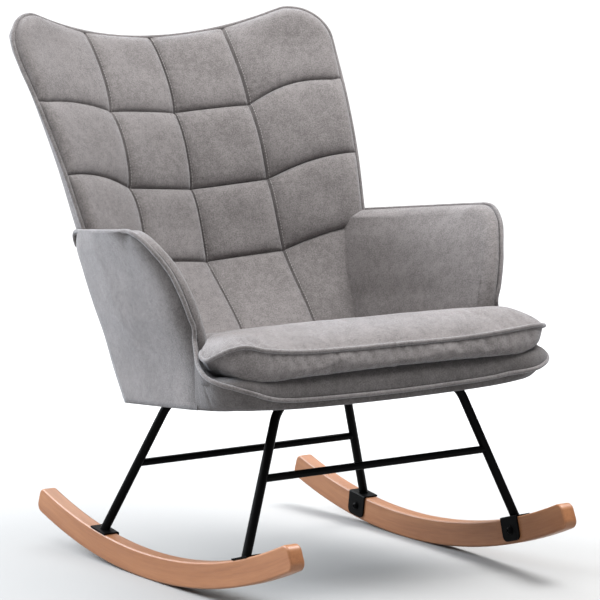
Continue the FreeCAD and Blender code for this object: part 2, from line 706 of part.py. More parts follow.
def make_spring():
    """Zigzag wire spring: straight runs across, joined by half circles."""
    body = new_body("zigzag_spring")
    bend = value("spring_bend")
    half = value("spring_half_width") - bend
    start = value("-front_rail_y + rail_width + clip_reach")
    end = value(REAR_INNER + " - clip_reach")
    runs = int((end - start) // (2 * bend))
    margin = (end - start - runs * 2 * bend) / 2
    y = start + margin
    path = new_sketch(body, "spring_path", "XY_Plane")
    path.addGeometry(Part.LineSegment(Vector(0, y, 0), Vector(half, y, 0)))
    at_right = True
    for run in range(runs):
        x = half if at_right else -half
        middle = Vector(x + (bend if at_right else -bend), y + bend, 0)
        path.addGeometry(Part.Arc(Vector(x, y, 0), middle, Vector(x, y + 2 * bend, 0)))
        y += 2 * bend
        last = run == runs - 1
        stop = Vector(0, y, 0) if last else Vector(-x, y, 0)
        path.addGeometry(Part.LineSegment(Vector(x, y, 0), stop))
        at_right = not at_right
    section = new_sketch(body, "spring_section", "YZ_Plane")
    circle(section, "%.4f" % (start + margin), "0", "spring_wire / 2")
    doc.recompute()
    pipe = body.newObject("PartDesign::AdditivePipe", "spring_pipe")
    pipe.Profile = section
    pipe.Spine = (path, ["Edge%d" % (n + 1) for n in range(path.GeometryCount)])
    doc.recompute()
    return body, start + margin, y


spring, spring_start, spring_end = make_spring()
SPRING_Z = value(RAIL_BOTTOM) + value("rail_height") / 2
spring_columns = [
    (number - (value("spring_count") - 1) / 2) * value("spring_pitch")
    for number in range(int(value("spring_count")))
]


def on_seat(x, y, z, turn=0):
    local = FreeCAD.Placement(Vector(x, y, z), FreeCAD.Rotation(Z_AXIS, turn))
    return seat_frame.multiply(local)


copies("seat_springs", spring, [on_seat(x, 0, SPRING_Z) for x in spring_columns])


def make_spring_clip():
    """Folded steel clip, nailed to a rail, that wraps the end run of a spring."""
    body = new_body("spring_clip")
    sketch = new_sketch(body, "clip_section", "YZ_Plane")
    reach = "%.4f" % (spring_start - value("-front_rail_y + rail_width"))
    wire = "(spring_wire / 2 + fit_gap)"
    out = "(%s + clip_plate)" % wire
    polygon(sketch, [
        ("0", "-%s" % out), ("%s + %s" % (reach, out), "-%s" % out), ("%s + %s" % (reach, out), out),
        ("clip_plate", out), ("clip_plate", "%s + clip_fold" % out), ("0", "%s + clip_fold" % out),
    ])
    pad(body, sketch, "clip_width", "Symmetric")
    bore = new_sketch(body, "clip_bore", "YZ_Plane")
    circle(bore, reach, "0", wire)
    pocket(body, bore, "2 * clip_width", "Symmetric")
    return body


clip = make_spring_clip()
clip_places = []
for column in spring_columns:
    clip_places.append(on_seat(column, value("-front_rail_y + rail_width"), SPRING_Z))
    clip_places.append(on_seat(column, value(REAR_INNER), SPRING_Z, 180))
copies("spring_clips", clip, clip_places)


def make_wood_screw():
    """Countersunk wood screw: its head's flat is at z = 0 and its point is down."""
    body = new_body("wood_screw")
    sketch = new_sketch(body, "wood_screw_section", "XZ_Plane")
    polygon(sketch, [
        ("0", "-wood_screw_length"), ("wood_screw_diameter / 2", "-wood_screw_length + wood_screw_head"),
        ("wood_screw_diameter / 2", "-wood_screw_head / 2"), ("wood_screw_head", "0"), ("0", "0"),
    ])
    turned = body.newObject("PartDesign::Revolution", "wood_screw_turned")
    turned.Profile = sketch
    turned.ReferenceAxis = (sketch, ["V_Axis"])
    turned.Angle = 360
    doc.recompute()
    return body


# ---------------------------------------------------------------- outlines with rounded corners
STRAIGHT = math.radians(89.5)  # half the angle between two runs that need no arc
RUN_SHARE = 0.45  # share of a run that an arc at its end may use
BEYOND = 500  # farther from the middle plane, and from the seat frame's origin, than any part of the chair


def rounded_wire(points, z=0.0):
    """Closed wire through (x, y, radius) corners at height z, each corner an arc of its radius."""
    count = len(points)
    starts = []
    for index, (x, y, radius) in enumerate(points):
        here = Vector(x, y, z)
        before = Vector(*points[index - 1][:2], z) - here
        after = Vector(*points[(index + 1) % count][:2], z) - here
        before.normalize()
        after.normalize()
        half_angle = before.getAngle(after) / 2
        reach = radius / math.tan(half_angle)
        bisector = (before + after).normalize()
        middle = here + bisector * (radius / math.sin(half_angle) - radius)
        starts.append((here + before * reach, middle, here + after * reach))
    edges = []
    for index, (begin, middle, finish) in enumerate(starts):
        edges.append(Part.Arc(begin, middle, finish).toShape())
        edges.append(Part.LineSegment(finish, starts[(index + 1) % count][0]).toShape())
    return Part.Wire(edges)


def symmetric(points):
    """Right-hand corners, front to rear, and their mirror images."""
    return points + [(-x, y, radius) for x, y, radius in reversed(points)]


def smooth_path(points):
    """Open path: straight runs joined by arcs that are as large as the runs beside them allow."""
    edges = []
    start = points[0]
    for before, here, after in zip(points, points[1:], points[2:]):
        back = (before - here).normalize()
        ahead = (after - here).normalize()
        half_angle = back.getAngle(ahead) / 2
        if half_angle > STRAIGHT:
            continue
        reach = RUN_SHARE * min((before - here).Length, (after - here).Length)
        radius = reach * math.tan(half_angle)
        middle = here + (back + ahead).normalize() * (radius / math.sin(half_angle) - radius)
        edges.append(Part.LineSegment(start, here + back * reach).toShape())
        edges.append(Part.Arc(here + back * reach, middle, here + ahead * reach).toShape())
        start = here + ahead * reach
    edges.append(Part.LineSegment(start, points[-1]).toShape())
    return Part.Wire(edges)


def cord(points, radius):
    """Round cord along a smooth path."""
    path = smooth_path(points)
    direction = path.Edges[0].tangentAt(path.Edges[0].FirstParameter)
    ring = Part.Wire([Part.Circle(points[0], direction, radius).toShape()])
    return path.makePipeShell([ring], True, True)


def mirrored_points(points):
    """The points, then their mirror images in reverse, leaving a point on the mirror plane single."""
    rest = [point for point in reversed(points) if abs(point.x) > 1e-6]
    return points + [Vector(-point.x, point.y, point.z) for point in rest]


# ---------------------------------------------------------------- back
BACK_OVERRUN = 16  # how far the slabs of the back run past its outline, which then trims them
DIAGONAL = 0.7  # share of an inset that a point half way round a shoulder moves, both ways
WING_SHARES = (0.33, 0.66, 0.96)  # where the piping's route has points on the arc of a shoulder
CREST_SHARES = (0.66, 0.33, 0)  # and on the dipped top, as shares of the way out from the middle


def back_row(level, column):
    return value("back_level%d_%s" % (level, column))


def half_width(z):
    """Half width of the back's outline at a height."""
    share = (z - value("back_bottom")) / (value("back_shoulder") - value("back_bottom"))
    return value("back_half_bottom") + share * (value("back_half_top") - value("back_half_bottom"))


def back_arc(level, face, offset=0.0):
    """Curve across the back at one level, run a little past the outline."""
    z = back_row(level, "z")
    middle = back_row(level, face + "_mid")
    side = back_row(level, face + "_side")
    half = half_width(z)
    wide = half + BACK_OVERRUN
    edge_y = middle - (middle - side) * (wide / half) ** 2
    return Part.Arc(
        Vector(-wide, edge_y + offset, z), Vector(0, middle + offset, z), Vector(wide, edge_y + offset, z)
    )


def back_layer(name, front, rear, inset=0.0, bottom="back_bottom"):
    """Slab between two faces of the back, trimmed to the winged outline."""
    wires = []
    for level in range(len(BACK_LEVELS)):
        near = back_arc(level, *front)
        far = back_arc(level, *rear)
        edges = [
            near.toShape(), Part.LineSegment(near.EndPoint, far.EndPoint).toShape(),
            far.toShape(), Part.LineSegment(far.StartPoint, near.StartPoint).toShape(),
        ]
        wires.append(Part.Wire(Part.__sortEdges__(edges)))
    slab = plain_feature(name + "_slab", Part.makeLoft(wires, True, False))
    outline = plain_feature(name + "_outline", back_outline(inset, value(bottom)))
    result = boolean("Common", name, slab, outline)
    return result


def back_outline(inset, bottom):
    """Block whose front view is the winged outline: straight sides, round shoulders, dipped top."""
    low = half_width(bottom) - inset
    high = value("back_half_top") - inset
    shoulder = Vector(high, 0, value("back_shoulder"))
    rounding = Vector(value("wing_round_x"), 0, value("wing_round_z")) - Vector(1, 0, 1) * (DIAGONAL * inset)
    join = Vector(value("wing_join_x"), 0, value("wing_join_z") - inset)
    dip = Vector(0, 0, value("back_dip") - inset)

    def other(point):
        return Vector(-point.x, point.y, point.z)

    foot = Vector(low, 0, bottom)
    edges = [
        Part.LineSegment(foot, shoulder).toShape(),
        Part.Arc(shoulder, rounding, join).toShape(),
        Part.Arc(join, dip, other(join)).toShape(),
        Part.Arc(other(join), other(rounding), other(shoulder)).toShape(),
        Part.LineSegment(other(shoulder), other(foot)).toShape(),
        Part.LineSegment(other(foot), foot).toShape(),
    ]
    face = Part.Face(Part.Wire(edges))
    return face.extrude(Vector(0, 2 * BEYOND, 0))


slot = value("board_slot")
clear = value("layer_gap")
back_board = back_layer(
    "back_board", ("board", clear), ("board", slot - clear), value("board_inset"), "board_bottom"
)
back_pad = back_layer("back_pad", ("pad", 0), ("board", 0), 0, "pad_bottom")
back_cover = back_layer("back_cover", ("board", slot), ("rear", 0))
for label, item in (("back_board", back_board), ("back_pad", back_pad), ("back_cover", back_cover)):
    keep(label, item)
back_whole = back_layer("back_whole", ("pad", -clear), ("rear", clear), -clear)


def rim_point(x, z):
    """Middle of the slot that the board leaves between pad and cover, at a place on the outline."""
    ray = Part.LineSegment(Vector(x, 0, z), Vector(x, 2 * BEYOND, z)).toShape()
    inside = doc.getObject("back_cover_slab").Shape.common(ray)
    front_y = min(vertex.Y for vertex in inside.Vertexes)
    return Vector(x, front_y - slot / 2, z)


def rim_points():
    """Points up one side of the back, round its shoulder and along its top to the middle."""
    piping = value("piping_radius")
    spots = []
    low = value("piping_start")
    high = value("back_shoulder - piping_below_shoulder")
    for step in range(4):
        z = low + (high - low) * step / 3
        spots.append((half_width(z) - piping, z))
    shoulder = Vector(value("back_half_top"), value("back_shoulder"), 0)
    rounding = Vector(value("wing_round_x"), value("wing_round_z"), 0)
    join = Vector(value("wing_join_x"), value("wing_join_z"), 0)
    wing = Part.Arc(shoulder, rounding, join).toShape()
    for share in WING_SHARES:
        spot = wing.valueAt(wing.FirstParameter + share * (wing.LastParameter - wing.FirstParameter))
        inwards = (wing.Curve.Center - spot).normalize()
        spots.append(((spot + inwards * piping).x, (spot + inwards * piping).y))
    rise = value("wing_join_z - back_dip")
    for share in CREST_SHARES:
        spots.append((share * value("wing_join_x"), value("back_dip") - piping + rise * share ** 2))
    return [rim_point(x, z) for x, z in spots]


back_cord = cord(mirrored_points(rim_points()), value("piping_radius"))
keep("back_piping", plain_feature("back_piping", back_cord))


# ---------------------------------------------------------------- arms
def arm_row(level):
    """Sizes of an arm at one level, from the sheet."""
    return {column: value("arm_level%d_%s" % (level, column)) for column in ARM_COLUMNS}


def arm_section(level, side, outer_gap, inner_gap):
    """Section of an arm between two depths under its outer face, in the tilted seat frame."""
    row = arm_row(level)
    z = row["z"]
    front = Vector(row["front_x"], row["front_y"], z)
    rear = Vector(row["rear_x"], row["rear_y"], z)
    bulge = Vector((front.x + rear.x) / 2 + value("arm_bulge"), (front.y + rear.y) / 2, z)
    depth = row["thick"] if inner_gap is None else inner_gap

    def shifted(point, by):
        return Vector(side * (point.x - by), point.y, point.z)

    outer = Part.Arc(shifted(front, outer_gap), shifted(bulge, outer_gap), shifted(rear, outer_gap))
    inner = Part.Arc(shifted(rear, depth), shifted(bulge, depth), shifted(front, depth))
    edges = [
        outer.toShape(), Part.LineSegment(outer.EndPoint, inner.StartPoint).toShape(),
        inner.toShape(), Part.LineSegment(inner.EndPoint, outer.StartPoint).toShape(),
    ]
    return Part.Wire(edges)


def arm_layer(name, side, outer_gap, inner_gap):
    """Slab of an arm between two depths under its outer face."""
    wires = [arm_section(level, side, outer_gap, inner_gap) for level in range(len(ARM_LEVELS))]
    return plain_feature(name, Part.makeLoft(wires, True, False), seat_placement())


def side_block(name, points):
    """Block whose side view, along X, is a polygon of (y, z) points in the tilted seat frame."""
    corners = [Vector(-BEYOND, y, z) for y, z in points]
    face = Part.Face(Part.makePolygon(corners + corners[:1]))
    return plain_feature(name, face.extrude(Vector(2 * BEYOND, 0, 0)), seat_placement())


def board_outline(inset):
    """Side view of an arm's board: the arm's outline pulled in, and without its two top levels."""
    rows = [arm_row(level) for level in range(len(ARM_LEVELS) - 2)]
    front_edge = [(row["front_y"] + inset, row["z"]) for row in rows]
    rear_edge = [(row["rear_y"] - inset, row["z"]) for row in reversed(rows)]
    return front_edge + rear_edge


cover_depth = value("arm_cover_thickness")
board_depth = cover_depth + value("arm_board_thickness")
pad_low = value("arm_pad_bottom")
for side_name, side_sign in SIDES:
    cover = arm_layer("arm_cover_blank_" + side_name, side_sign, 0, cover_depth)
    board = boolean(
        "Common", "arm_board_trimmed_" + side_name,
        arm_layer("arm_board_blank_" + side_name, side_sign, cover_depth + clear, board_depth - clear),
        side_block("arm_board_outline_" + side_name, board_outline(value("arm_board_inset"))),
    )
    pocket_for_board = boolean(
        "Common", "arm_board_pocket_" + side_name,
        arm_layer("arm_pocket_blank_" + side_name, side_sign, cover_depth - 1, board_depth),
        side_block("arm_pocket_outline_" + side_name, board_outline(value("arm_board_inset") - clear)),
    )
    filling = arm_layer("arm_pad_blank_" + side_name, side_sign, cover_depth + clear, None)
    above = side_block(
        "above_rails_" + side_name,
        [(-BEYOND, pad_low), (BEYOND, pad_low), (BEYOND, BEYOND), (-BEYOND, BEYOND)],
    )
    filling = boolean("Common", "arm_pad_raised_" + side_name, filling, above)
    filling = boolean("Cut", "arm_pad_trimmed_" + side_name, filling, pocket_for_board)
    for label, item in (("arm_cover", cover), ("arm_board", board), ("arm_pad", filling)):
        node_name = "%s_%s" % (label, side_name)
        keep(node_name, boolean("Cut", node_name, item, back_whole))


def shell_piping_points():
    """Route of the piping in the seat frame: along an arm, down its front, round the seat's front."""
    gap = value("piping_radius + piping_gap")
    depth = value("arm_cover_thickness")
    tuck = value("piping_tuck")
    ease = value("piping_ease")
    levels = [arm_row(level) for level in range(len(ARM_LEVELS))]
    top = levels[-1]
    height = top["z"] + gap
    middle_x = (top["front_x"] + top["rear_x"]) / 2 - depth + value("arm_bulge")
    points = [
        Vector(top["rear_x"] - depth, top["rear_y"] - tuck, height),
        Vector(middle_x, (top["front_y"] + top["rear_y"]) / 2, height),
        Vector(top["front_x"] - depth, top["front_y"] - tuck / 2, height),
    ]
    for level in (levels[6], levels[5], levels[4], levels[2]):
        points.append(Vector(level["front_x"] - depth, level["front_y"] - gap - tuck / 4, level["z"]))
    wide_x = value("front_half_width") + gap
    front_line = -value("front_y") - gap
    behind_ear = -value("ear_rear_y") + gap + value("ear_gap")
    points += [
        Vector(value("side_rail_front_x") + ease, behind_ear, value("pad_top") - 2 * ease),
        Vector(wide_x, behind_ear, value("apron_top") + 2 * ease),
        Vector(wide_x, (behind_ear + front_line) / 2, value("apron_top") + ease),
        Vector(wide_x, front_line, value("apron_top")),
        Vector(0, front_line, value("apron_top")),
    ]
    return mirrored_points(points)


shell_piping = cord(shell_piping_points(), value("piping_radius"))
keep("shell_piping", plain_feature("shell_piping", shell_piping, seat_placement()))


# ---------------------------------------------------------------- seat pad, apron, cushion
def seat_block(name, points, z_low, z_high):
    """Flat block of a rounded outline in the tilted seat frame."""
    face = Part.Face(rounded_wire(points, z_low))
    return plain_feature(name, face.extrude(Vector(0, 0, z_high - z_low)), seat_placement())


front = -value("front_y")
wide = value("front_half_width")
ear = -value("ear_rear_y")
corner = value("front_corner")
inside = -value("front_rail_y + rail_gap")
beside = value("side_rail_front_x + rail_clear")
nook = value("nook_round")
notch = value("notch_round")
ear_outline = symmetric([
    (wide, front, corner), (wide, ear, value("ear_round")), (beside, ear, nook), (beside, inside, notch / 2),
])
apron = seat_block("front_apron", ear_outline, value("apron_bottom"), value("apron_top"))
keep("front_apron", apron)
roll = seat_block("seat_roll", ear_outline, value("apron_top"), value("pad_top"))
top_outline = symmetric([
    (beside, inside, notch / 2), (beside, ear, notch), (value("pad_half_front"), ear, notch),
    (value("pad_half_rear"), value("pad_rear_y"), value("pad_rear_round")),
])
deck_bottom = value(RAIL_TOP + " + tee_flange_thickness + deck_gap")
deck = seat_block("seat_deck", top_outline, deck_bottom, value("pad_top"))
joined = doc.addObject("Part::Fuse", "seat_pad_blank")
joined.Base = roll
joined.Tool = deck
doc.recompute()
keep("seat_pad", boolean("Cut", "seat_pad", joined, back_whole))


EAR_SHARE = 0.3  # share of the cushion's inset by which the rear edges of its ears move forward


def cushion_wire(z, inset, rear_shift, growth=0.0):
    """Outline of the loose cushion: wide in front of the arms, narrower between them, round rear."""
    inset = inset + growth
    middle = value("cushion_half_middle") - inset
    rear_half = value("cushion_half_rear") - inset
    ear_half = value("cushion_half_front") - inset
    corner_radius = value("cushion_corner")
    rear_side = value("cushion_rear_side") + rear_shift - inset
    rear_mid = value("cushion_rear_middle") + rear_shift - inset
    ear_y = -value("cushion_ear_y")
    nook_radius = value("cushion_nook_round")
    return rounded_wire(symmetric([
        (ear_half, -value("cushion_front") + inset, corner_radius),
        (ear_half, ear_y - inset * EAR_SHARE, value("cushion_ear_round")),
        (middle, ear_y + nook_radius, nook_radius),
        (rear_half, rear_side, value("cushion_side_round")),
        (rear_half / 2, (rear_side + 3 * rear_mid) / 4, value("cushion_rear_round")),
    ]), z)


def cushion_solid(name, skin):
    """Cushion's body, or the space inside a cover of the given thickness."""
    wires = [
        cushion_wire(value("cushion_bottom") + skin, value("cushion_inset"), 0, skin),
        cushion_wire(value("cushion_seam"), 0, value("cushion_seam_shift"), skin),
        cushion_wire(
            value("cushion_top") - skin, value("cushion_inset"), value("cushion_top_shift"), skin
        ),
    ]
    return plain_feature(name, Part.makeLoft(wires, True, True), seat_placement())


cushion_core = cushion_solid("cushion_core", value("cushion_skin"))
cushion_whole = cushion_solid("cushion_whole", 0)
keep("cushion_core", cushion_core)
keep("cushion_cover", boolean("Cut", "cushion_cover", cushion_whole, cushion_core))

# piping round the cushion's seam: a cord of square section, a little proud of the cover
seam = value("cushion_seam")
trim = value("cushion_piping")
seam_shift = value("cushion_seam_shift")
outer_face = Part.Face(cushion_wire(seam - trim, -2 * trim, seam_shift))
inner_face = Part.Face(cushion_wire(seam - trim, -value("deck_gap"), seam_shift))
trim_solid = outer_face.extrude(Vector(0, 0, 2 * trim)).cut(inner_face.extrude(Vector(0, 0, 2 * trim)))
keep("cushion_piping", plain_feature("cushion_piping", trim_solid, seat_placement()))


# ---------------------------------------------------------------- wood screws of back and arms
def hits(item, start, end):
    """Where a straight line between two points of the seat frame meets a solid, from start to end."""
    first = seat_frame.multVec(start)
    ray = Part.LineSegment(first, seat_frame.multVec(end)).toShape()
    points = [vertex.Point for vertex in item.Shape.common(ray).Vertexes]
    return sorted(points, key=lambda point: point.distanceToPoint(first))


wood_screw = make_wood_screw()
sunk = FreeCAD.Placement(Vector(0, 0, -value("wood_screw_sink")), FreeCAD.Rotation())
screw_height = value(RAIL_BOTTOM) + value("rail_height") / 2
reach_y = value("rear_rail_y")
back_screw_places = []
for x in [sign * value("back_screw_" + place) for _, sign in SIDES for place in ("outer", "inner")]:
    surface = hits(back_board, Vector(x, BEYOND, screw_height), Vector(x, reach_y, screw_height))[0]
    turn = seat_frame.Rotation.multiply(FreeCAD.Rotation(Z_AXIS, Y_AXIS))
    back_screw_places.append(FreeCAD.Placement(surface, turn).multiply(sunk))
copies("back_screws", wood_screw, back_screw_places)
arm_screw_places = []
for side_name, side_sign in SIDES:
    for y in [value(place) for place in ("-arm_screw_front", "-arm_screw_middle", "arm_screw_rear")]:
        far = Vector(side_sign * BEYOND, y, screw_height)
        surface = hits(nodes["arm_board_" + side_name], far, Vector(0, y, screw_height))[0]
        turn = seat_frame.Rotation.multiply(FreeCAD.Rotation(Z_AXIS, Vector(side_sign, 0, 0)))
        arm_screw_places.append(FreeCAD.Placement(surface, turn).multiply(sunk))
copies("arm_screws", wood_screw, arm_screw_places)


# ---------------------------------------------------------------- checks and files
doc.recompute()
for item in doc.Objects:
    if "Invalid" in item.State or "Error" in item.State:
        raise RuntimeError("%s failed: %s" % (item.Name, item.State))
os.makedirs("parts", exist_ok=True)
for label, item in nodes.items():
    shape = item.Shape
    if shape.isNull() or not shape.isValid() or not shape.Solids:
        raise RuntimeError("%s has no valid solid" % label)
    shape.exportStep("parts/%s.step" % label)
    print(label, len(shape.Solids), round(shape.Volume / 1000, 1), "cm3")
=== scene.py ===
import json
import math

import bmesh
import bpy
import numpy as np
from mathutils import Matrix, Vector
from mathutils.bvhtree import BVHTree


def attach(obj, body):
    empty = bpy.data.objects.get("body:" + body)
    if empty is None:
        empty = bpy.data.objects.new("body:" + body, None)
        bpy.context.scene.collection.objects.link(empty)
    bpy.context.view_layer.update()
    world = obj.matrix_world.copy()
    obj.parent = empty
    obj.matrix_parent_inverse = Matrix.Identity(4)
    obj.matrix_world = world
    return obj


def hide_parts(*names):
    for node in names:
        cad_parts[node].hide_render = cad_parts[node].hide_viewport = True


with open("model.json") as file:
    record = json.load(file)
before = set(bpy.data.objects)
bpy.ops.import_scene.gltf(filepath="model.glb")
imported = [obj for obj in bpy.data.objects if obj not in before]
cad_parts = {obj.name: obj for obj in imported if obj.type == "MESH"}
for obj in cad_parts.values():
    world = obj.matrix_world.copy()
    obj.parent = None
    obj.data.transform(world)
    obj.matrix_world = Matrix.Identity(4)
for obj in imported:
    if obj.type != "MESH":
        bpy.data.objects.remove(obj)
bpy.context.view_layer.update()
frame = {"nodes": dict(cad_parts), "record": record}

# Upholstered wing-back rocking chair. Shapes are worked out in millimetres in the row frame
# (+Z up, the sitter faces -Y) and turned into metres when a mesh is made.
MM = 0.001
SEAT_TILT = math.radians(6.2)
SEAT_HEIGHT = 318.45
nodes = frame["nodes"]
scene = bpy.context.scene


# ------------------------------------------------------------------ maths
def hermite(x, xs, ys):
    """Smooth curve through the points (xs, ys), xs rising; straight beyond the ends."""
    x = np.asarray(x, float)
    xs = np.asarray(xs, float)
    ys = np.asarray(ys, float)
    slopes = np.gradient(ys, xs)
    i = np.clip(np.searchsorted(xs, x) - 1, 0, len(xs) - 2)
    step = xs[i + 1] - xs[i]
    t = np.clip((x - xs[i]) / step, 0, 1)
    value = (
        (2 * t**3 - 3 * t**2 + 1) * ys[i] + (t**3 - 2 * t**2 + t) * step * slopes[i]
        + (3 * t**2 - 2 * t**3) * ys[i + 1] + (t**3 - t**2) * step * slopes[i + 1]
    )
    below = np.minimum(x - xs[0], 0) * slopes[0]
    above = np.maximum(x - xs[-1], 0) * slopes[-1]
    return value + below + above


def seat_to_world(points):
    """Points of the tilted seat frame, in which z = 0 is the top of the leg frames, in the row frame."""
    p = np.asarray(points, float)
    c, s = math.cos(SEAT_TILT), math.sin(SEAT_TILT)
    return np.stack(
        [p[..., 0], p[..., 1] * c + p[..., 2] * s, SEAT_HEIGHT - p[..., 1] * s + p[..., 2] * c], -1
    )


def unit(vectors):
    return vectors / np.linalg.norm(vectors, axis=-1, keepdims=True)


def lengths_along(line):
    """Length of a line of points up to each of them."""
    return np.concatenate([[0], np.cumsum(np.linalg.norm(np.diff(line, axis=0), axis=1))])


def smooth_curve(points, count, closed=False):
    """Points spread evenly by length along a smooth curve through the given ones."""
    p = np.asarray(points, float)
    if closed:
        p = np.vstack([p[-2:], p, p[:3]])
    chord = np.concatenate([[0], np.cumsum(np.sqrt(np.linalg.norm(np.diff(p, axis=0), axis=1)))])
    first, last = (chord[2], chord[-3]) if closed else (chord[0], chord[-1])
    fine = np.linspace(first, last, 1500)
    dense = np.stack([hermite(fine, chord, p[:, k]) for k in range(p.shape[1])], -1)
    length = lengths_along(dense)
    wanted = np.linspace(0, length[-1], count + 1 if closed else count)
    out = np.stack([np.interp(wanted, length, dense[:, k]) for k in range(p.shape[1])], -1)
    return out[:-1] if closed else out


def pillow(t, sharp=2.4, power=0.5):
    """Height of a stuffed panel across its width: 0 at t = 0 and 1, full in the middle."""
    t = np.clip(t, 0, 1)
    return np.clip(1 - np.abs(2 * t - 1) ** sharp, 0, 1) ** power


def wave_noise(points, scale, seed, octaves=3):
    """Smooth repeatable noise in -1..1 from sums of sines, for folds and unevenness."""
    rng = np.random.RandomState(seed)
    p = np.asarray(points, float) / scale
    total = np.zeros(p.shape[:-1])
    weight = 0
    for octave in range(octaves):
        for _ in range(4):
            direction = unit(rng.normal(size=p.shape[-1]))
            phase = rng.uniform(0, 2 * math.pi)
            total += np.sin((p @ direction) * 2**octave * 2 * math.pi + phase) / 2**octave
            weight += 0.5 / 2**octave
    return total / weight / 1.6


# ------------------------------------------------------------------ meshes
def make_mesh(name, points, faces, material, body, replaced=(), weld=0.0):
    """A piece of the object, from points in mm in the row frame.

    It rides on a body, takes a slot and stands for the replaced CAD nodes. Points closer together than
    weld (mm) are joined.
    """
    mesh = bpy.data.meshes.new(name)
    corners = (np.asarray(points, float) * MM).tolist()
    mesh.from_pydata(corners, [], [tuple(int(i) for i in face) for face in faces])
    mesh.validate()
    if weld:
        bm = bmesh.new()
        bm.from_mesh(mesh)
        bmesh.ops.remove_doubles(bm, verts=bm.verts, dist=weld * MM)
        bmesh.ops.recalc_face_normals(bm, faces=bm.faces)
        bm.to_mesh(mesh)
        bm.free()
    mesh.polygons.foreach_set("use_smooth", [True] * len(mesh.polygons))
    mesh.materials.append(material)
    piece = bpy.data.objects.new(name, mesh)
    scene.collection.objects.link(piece)
    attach(piece, body)
    if replaced:
        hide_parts(*replaced)
    return piece


def make_cover(name, points, faces, material, stands_for, body="chair", weld=0.02):
    """A padded piece of the upholstery, in the place of the CAD nodes that it stands for."""
    return make_mesh(name, points, faces, material, body, stands_for, weld)


def spread_out(grid, steps, combine):
    """Each cell of a grid becomes the greatest, or the mean, of the cells around it."""
    for axis in (0, 1):
        count = grid.shape[axis]
        padded = np.pad(grid, [(steps, steps) if a == axis else (0, 0) for a in (0, 1)], mode="edge")
        shifts = [np.take(padded, np.arange(k, k + count), axis=axis) for k in range(2 * steps + 1)]
        grid = combine(shifts, axis=0)
    return grid


def clearance(node, points, direction, margin, steps):
    """How far (mm) grid points must move in a direction to lie clear of a CAD solid, smoothed."""
    item = nodes[node]
    corners = [item.matrix_world @ vertex.co for vertex in item.data.vertices]
    tree = BVHTree.FromPolygons(corners, [list(face.vertices) for face in item.data.polygons])
    way = Vector(direction)
    need = np.zeros(points.shape[:2])
    for place in np.ndindex(need.shape):
        point = Vector(points[place]) * MM
        hit = tree.ray_cast(point + way, -way)[0]
        if hit is not None:
            need[place] = max(0.0, (hit - point).dot(way) / MM + margin)
    return spread_out(spread_out(need, steps, np.max), steps, np.mean)


def inflate(piece, held_points, reach, cap, pressure=4.0, slack=0.012, frames=20):
    """Cloth run on a finished cover: held along its seams, swollen by its filling, then kept.

    Vertices within reach (mm) of a held point stay where they are. No vertex moves by more than the cap (mm),
    so the piece keeps its outline.
    """
    mesh = piece.data
    start = np.empty(len(mesh.vertices) * 3)
    mesh.vertices.foreach_get("co", start)
    start = start.reshape(-1, 3)
    distance = np.full(len(start), np.inf)
    for block in np.array_split(np.asarray(held_points) * MM, 24):  # in blocks, to spare memory
        distance = np.minimum(distance, np.linalg.norm(start[:, None] - block, axis=2).min(axis=1))
    held = piece.vertex_groups.new(name="held")
    held.add([int(i) for i in np.nonzero(distance < reach * MM)[0]], 1.0, "REPLACE")
    modifier = piece.modifiers.new("swell", "CLOTH")
    settings = modifier.settings
    settings.quality = 5
    settings.mass = 0.25
    settings.vertex_group_mass = "held"
    settings.use_pressure = True
    settings.uniform_pressure_force = pressure
    settings.shrink_min = -slack
    settings.effector_weights.gravity = 0
    modifier.point_cache.frame_start, modifier.point_cache.frame_end = 1, frames
    for number in range(1, frames + 1):
        scene.frame_set(number)
    shaped = piece.evaluated_get(bpy.context.evaluated_depsgraph_get())
    end = np.empty(len(start) * 3)
    shaped.data.vertices.foreach_get("co", end)
    moved = end.reshape(-1, 3) - start
    length = np.linalg.norm(moved, axis=1, keepdims=True)
    moved *= cap * MM / np.maximum(length, cap * MM)
    piece.modifiers.remove(modifier)
    mesh.vertices.foreach_set("co", (start + moved).ravel())
    mesh.update()
    scene.frame_set(1)


def grid_faces(rows, columns, start=0, wrap=False):
    """Faces of a grid of rows x columns points, numbered row by row from start."""
    faces = []
    last = columns if wrap else columns - 1
    for r in range(rows - 1):
        for c in range(last):
            d = (c + 1) % columns
            a = start + r * columns
            b = a + columns
            faces.append((a + c, a + d, b + d, b + c))
    return faces


def rim_indices(rows, columns):
    """Indices of a grid's outside points, once round."""
    bottom = list(range(columns))
    right = [r * columns + columns - 1 for r in range(1, rows)]
    top = [(rows - 1) * columns + c for c in range(columns - 2, -1, -1)]
    left = [r * columns for r in range(rows - 2, 0, -1)]
    return bottom + right + top + left


def slab(front, back, walls=()):
    """Closed mesh from two grids of the same size, and rings of points that join their rims."""
    rows, columns = front.shape[:2]
    rim = rim_indices(rows, columns)
    points = [front.reshape(-1, 3), back.reshape(-1, 3)] + [np.asarray(w) for w in walls]
    faces = [tuple(reversed(f)) for f in grid_faces(rows, columns)]
    faces += grid_faces(rows, columns, rows * columns)
    rings = [rim]
    offset = 2 * rows * columns
    for wall in walls:
        rings.append([offset + i for i in range(len(rim))])
        offset += len(rim)
    rings.append([rows * columns + i for i in rim])
    for near, far in zip(rings, rings[1:]):
        for i in range(len(rim)):
            j = (i + 1) % len(rim)
            faces.append((near[i], near[j], far[j], far[i]))
    return np.concatenate(points), faces


def rim_ring(grid):
    """A grid's outside points, once round."""
    rows, columns = grid.shape[:2]
    return grid.reshape(-1, 3)[rim_indices(rows, columns)]


def frames_along(path, up):
    """Two directions across a path at each of its points."""
    tangent = unit(np.gradient(path, axis=0))
    side = unit(np.cross(tangent, up))
    return side, np.cross(side, tangent)


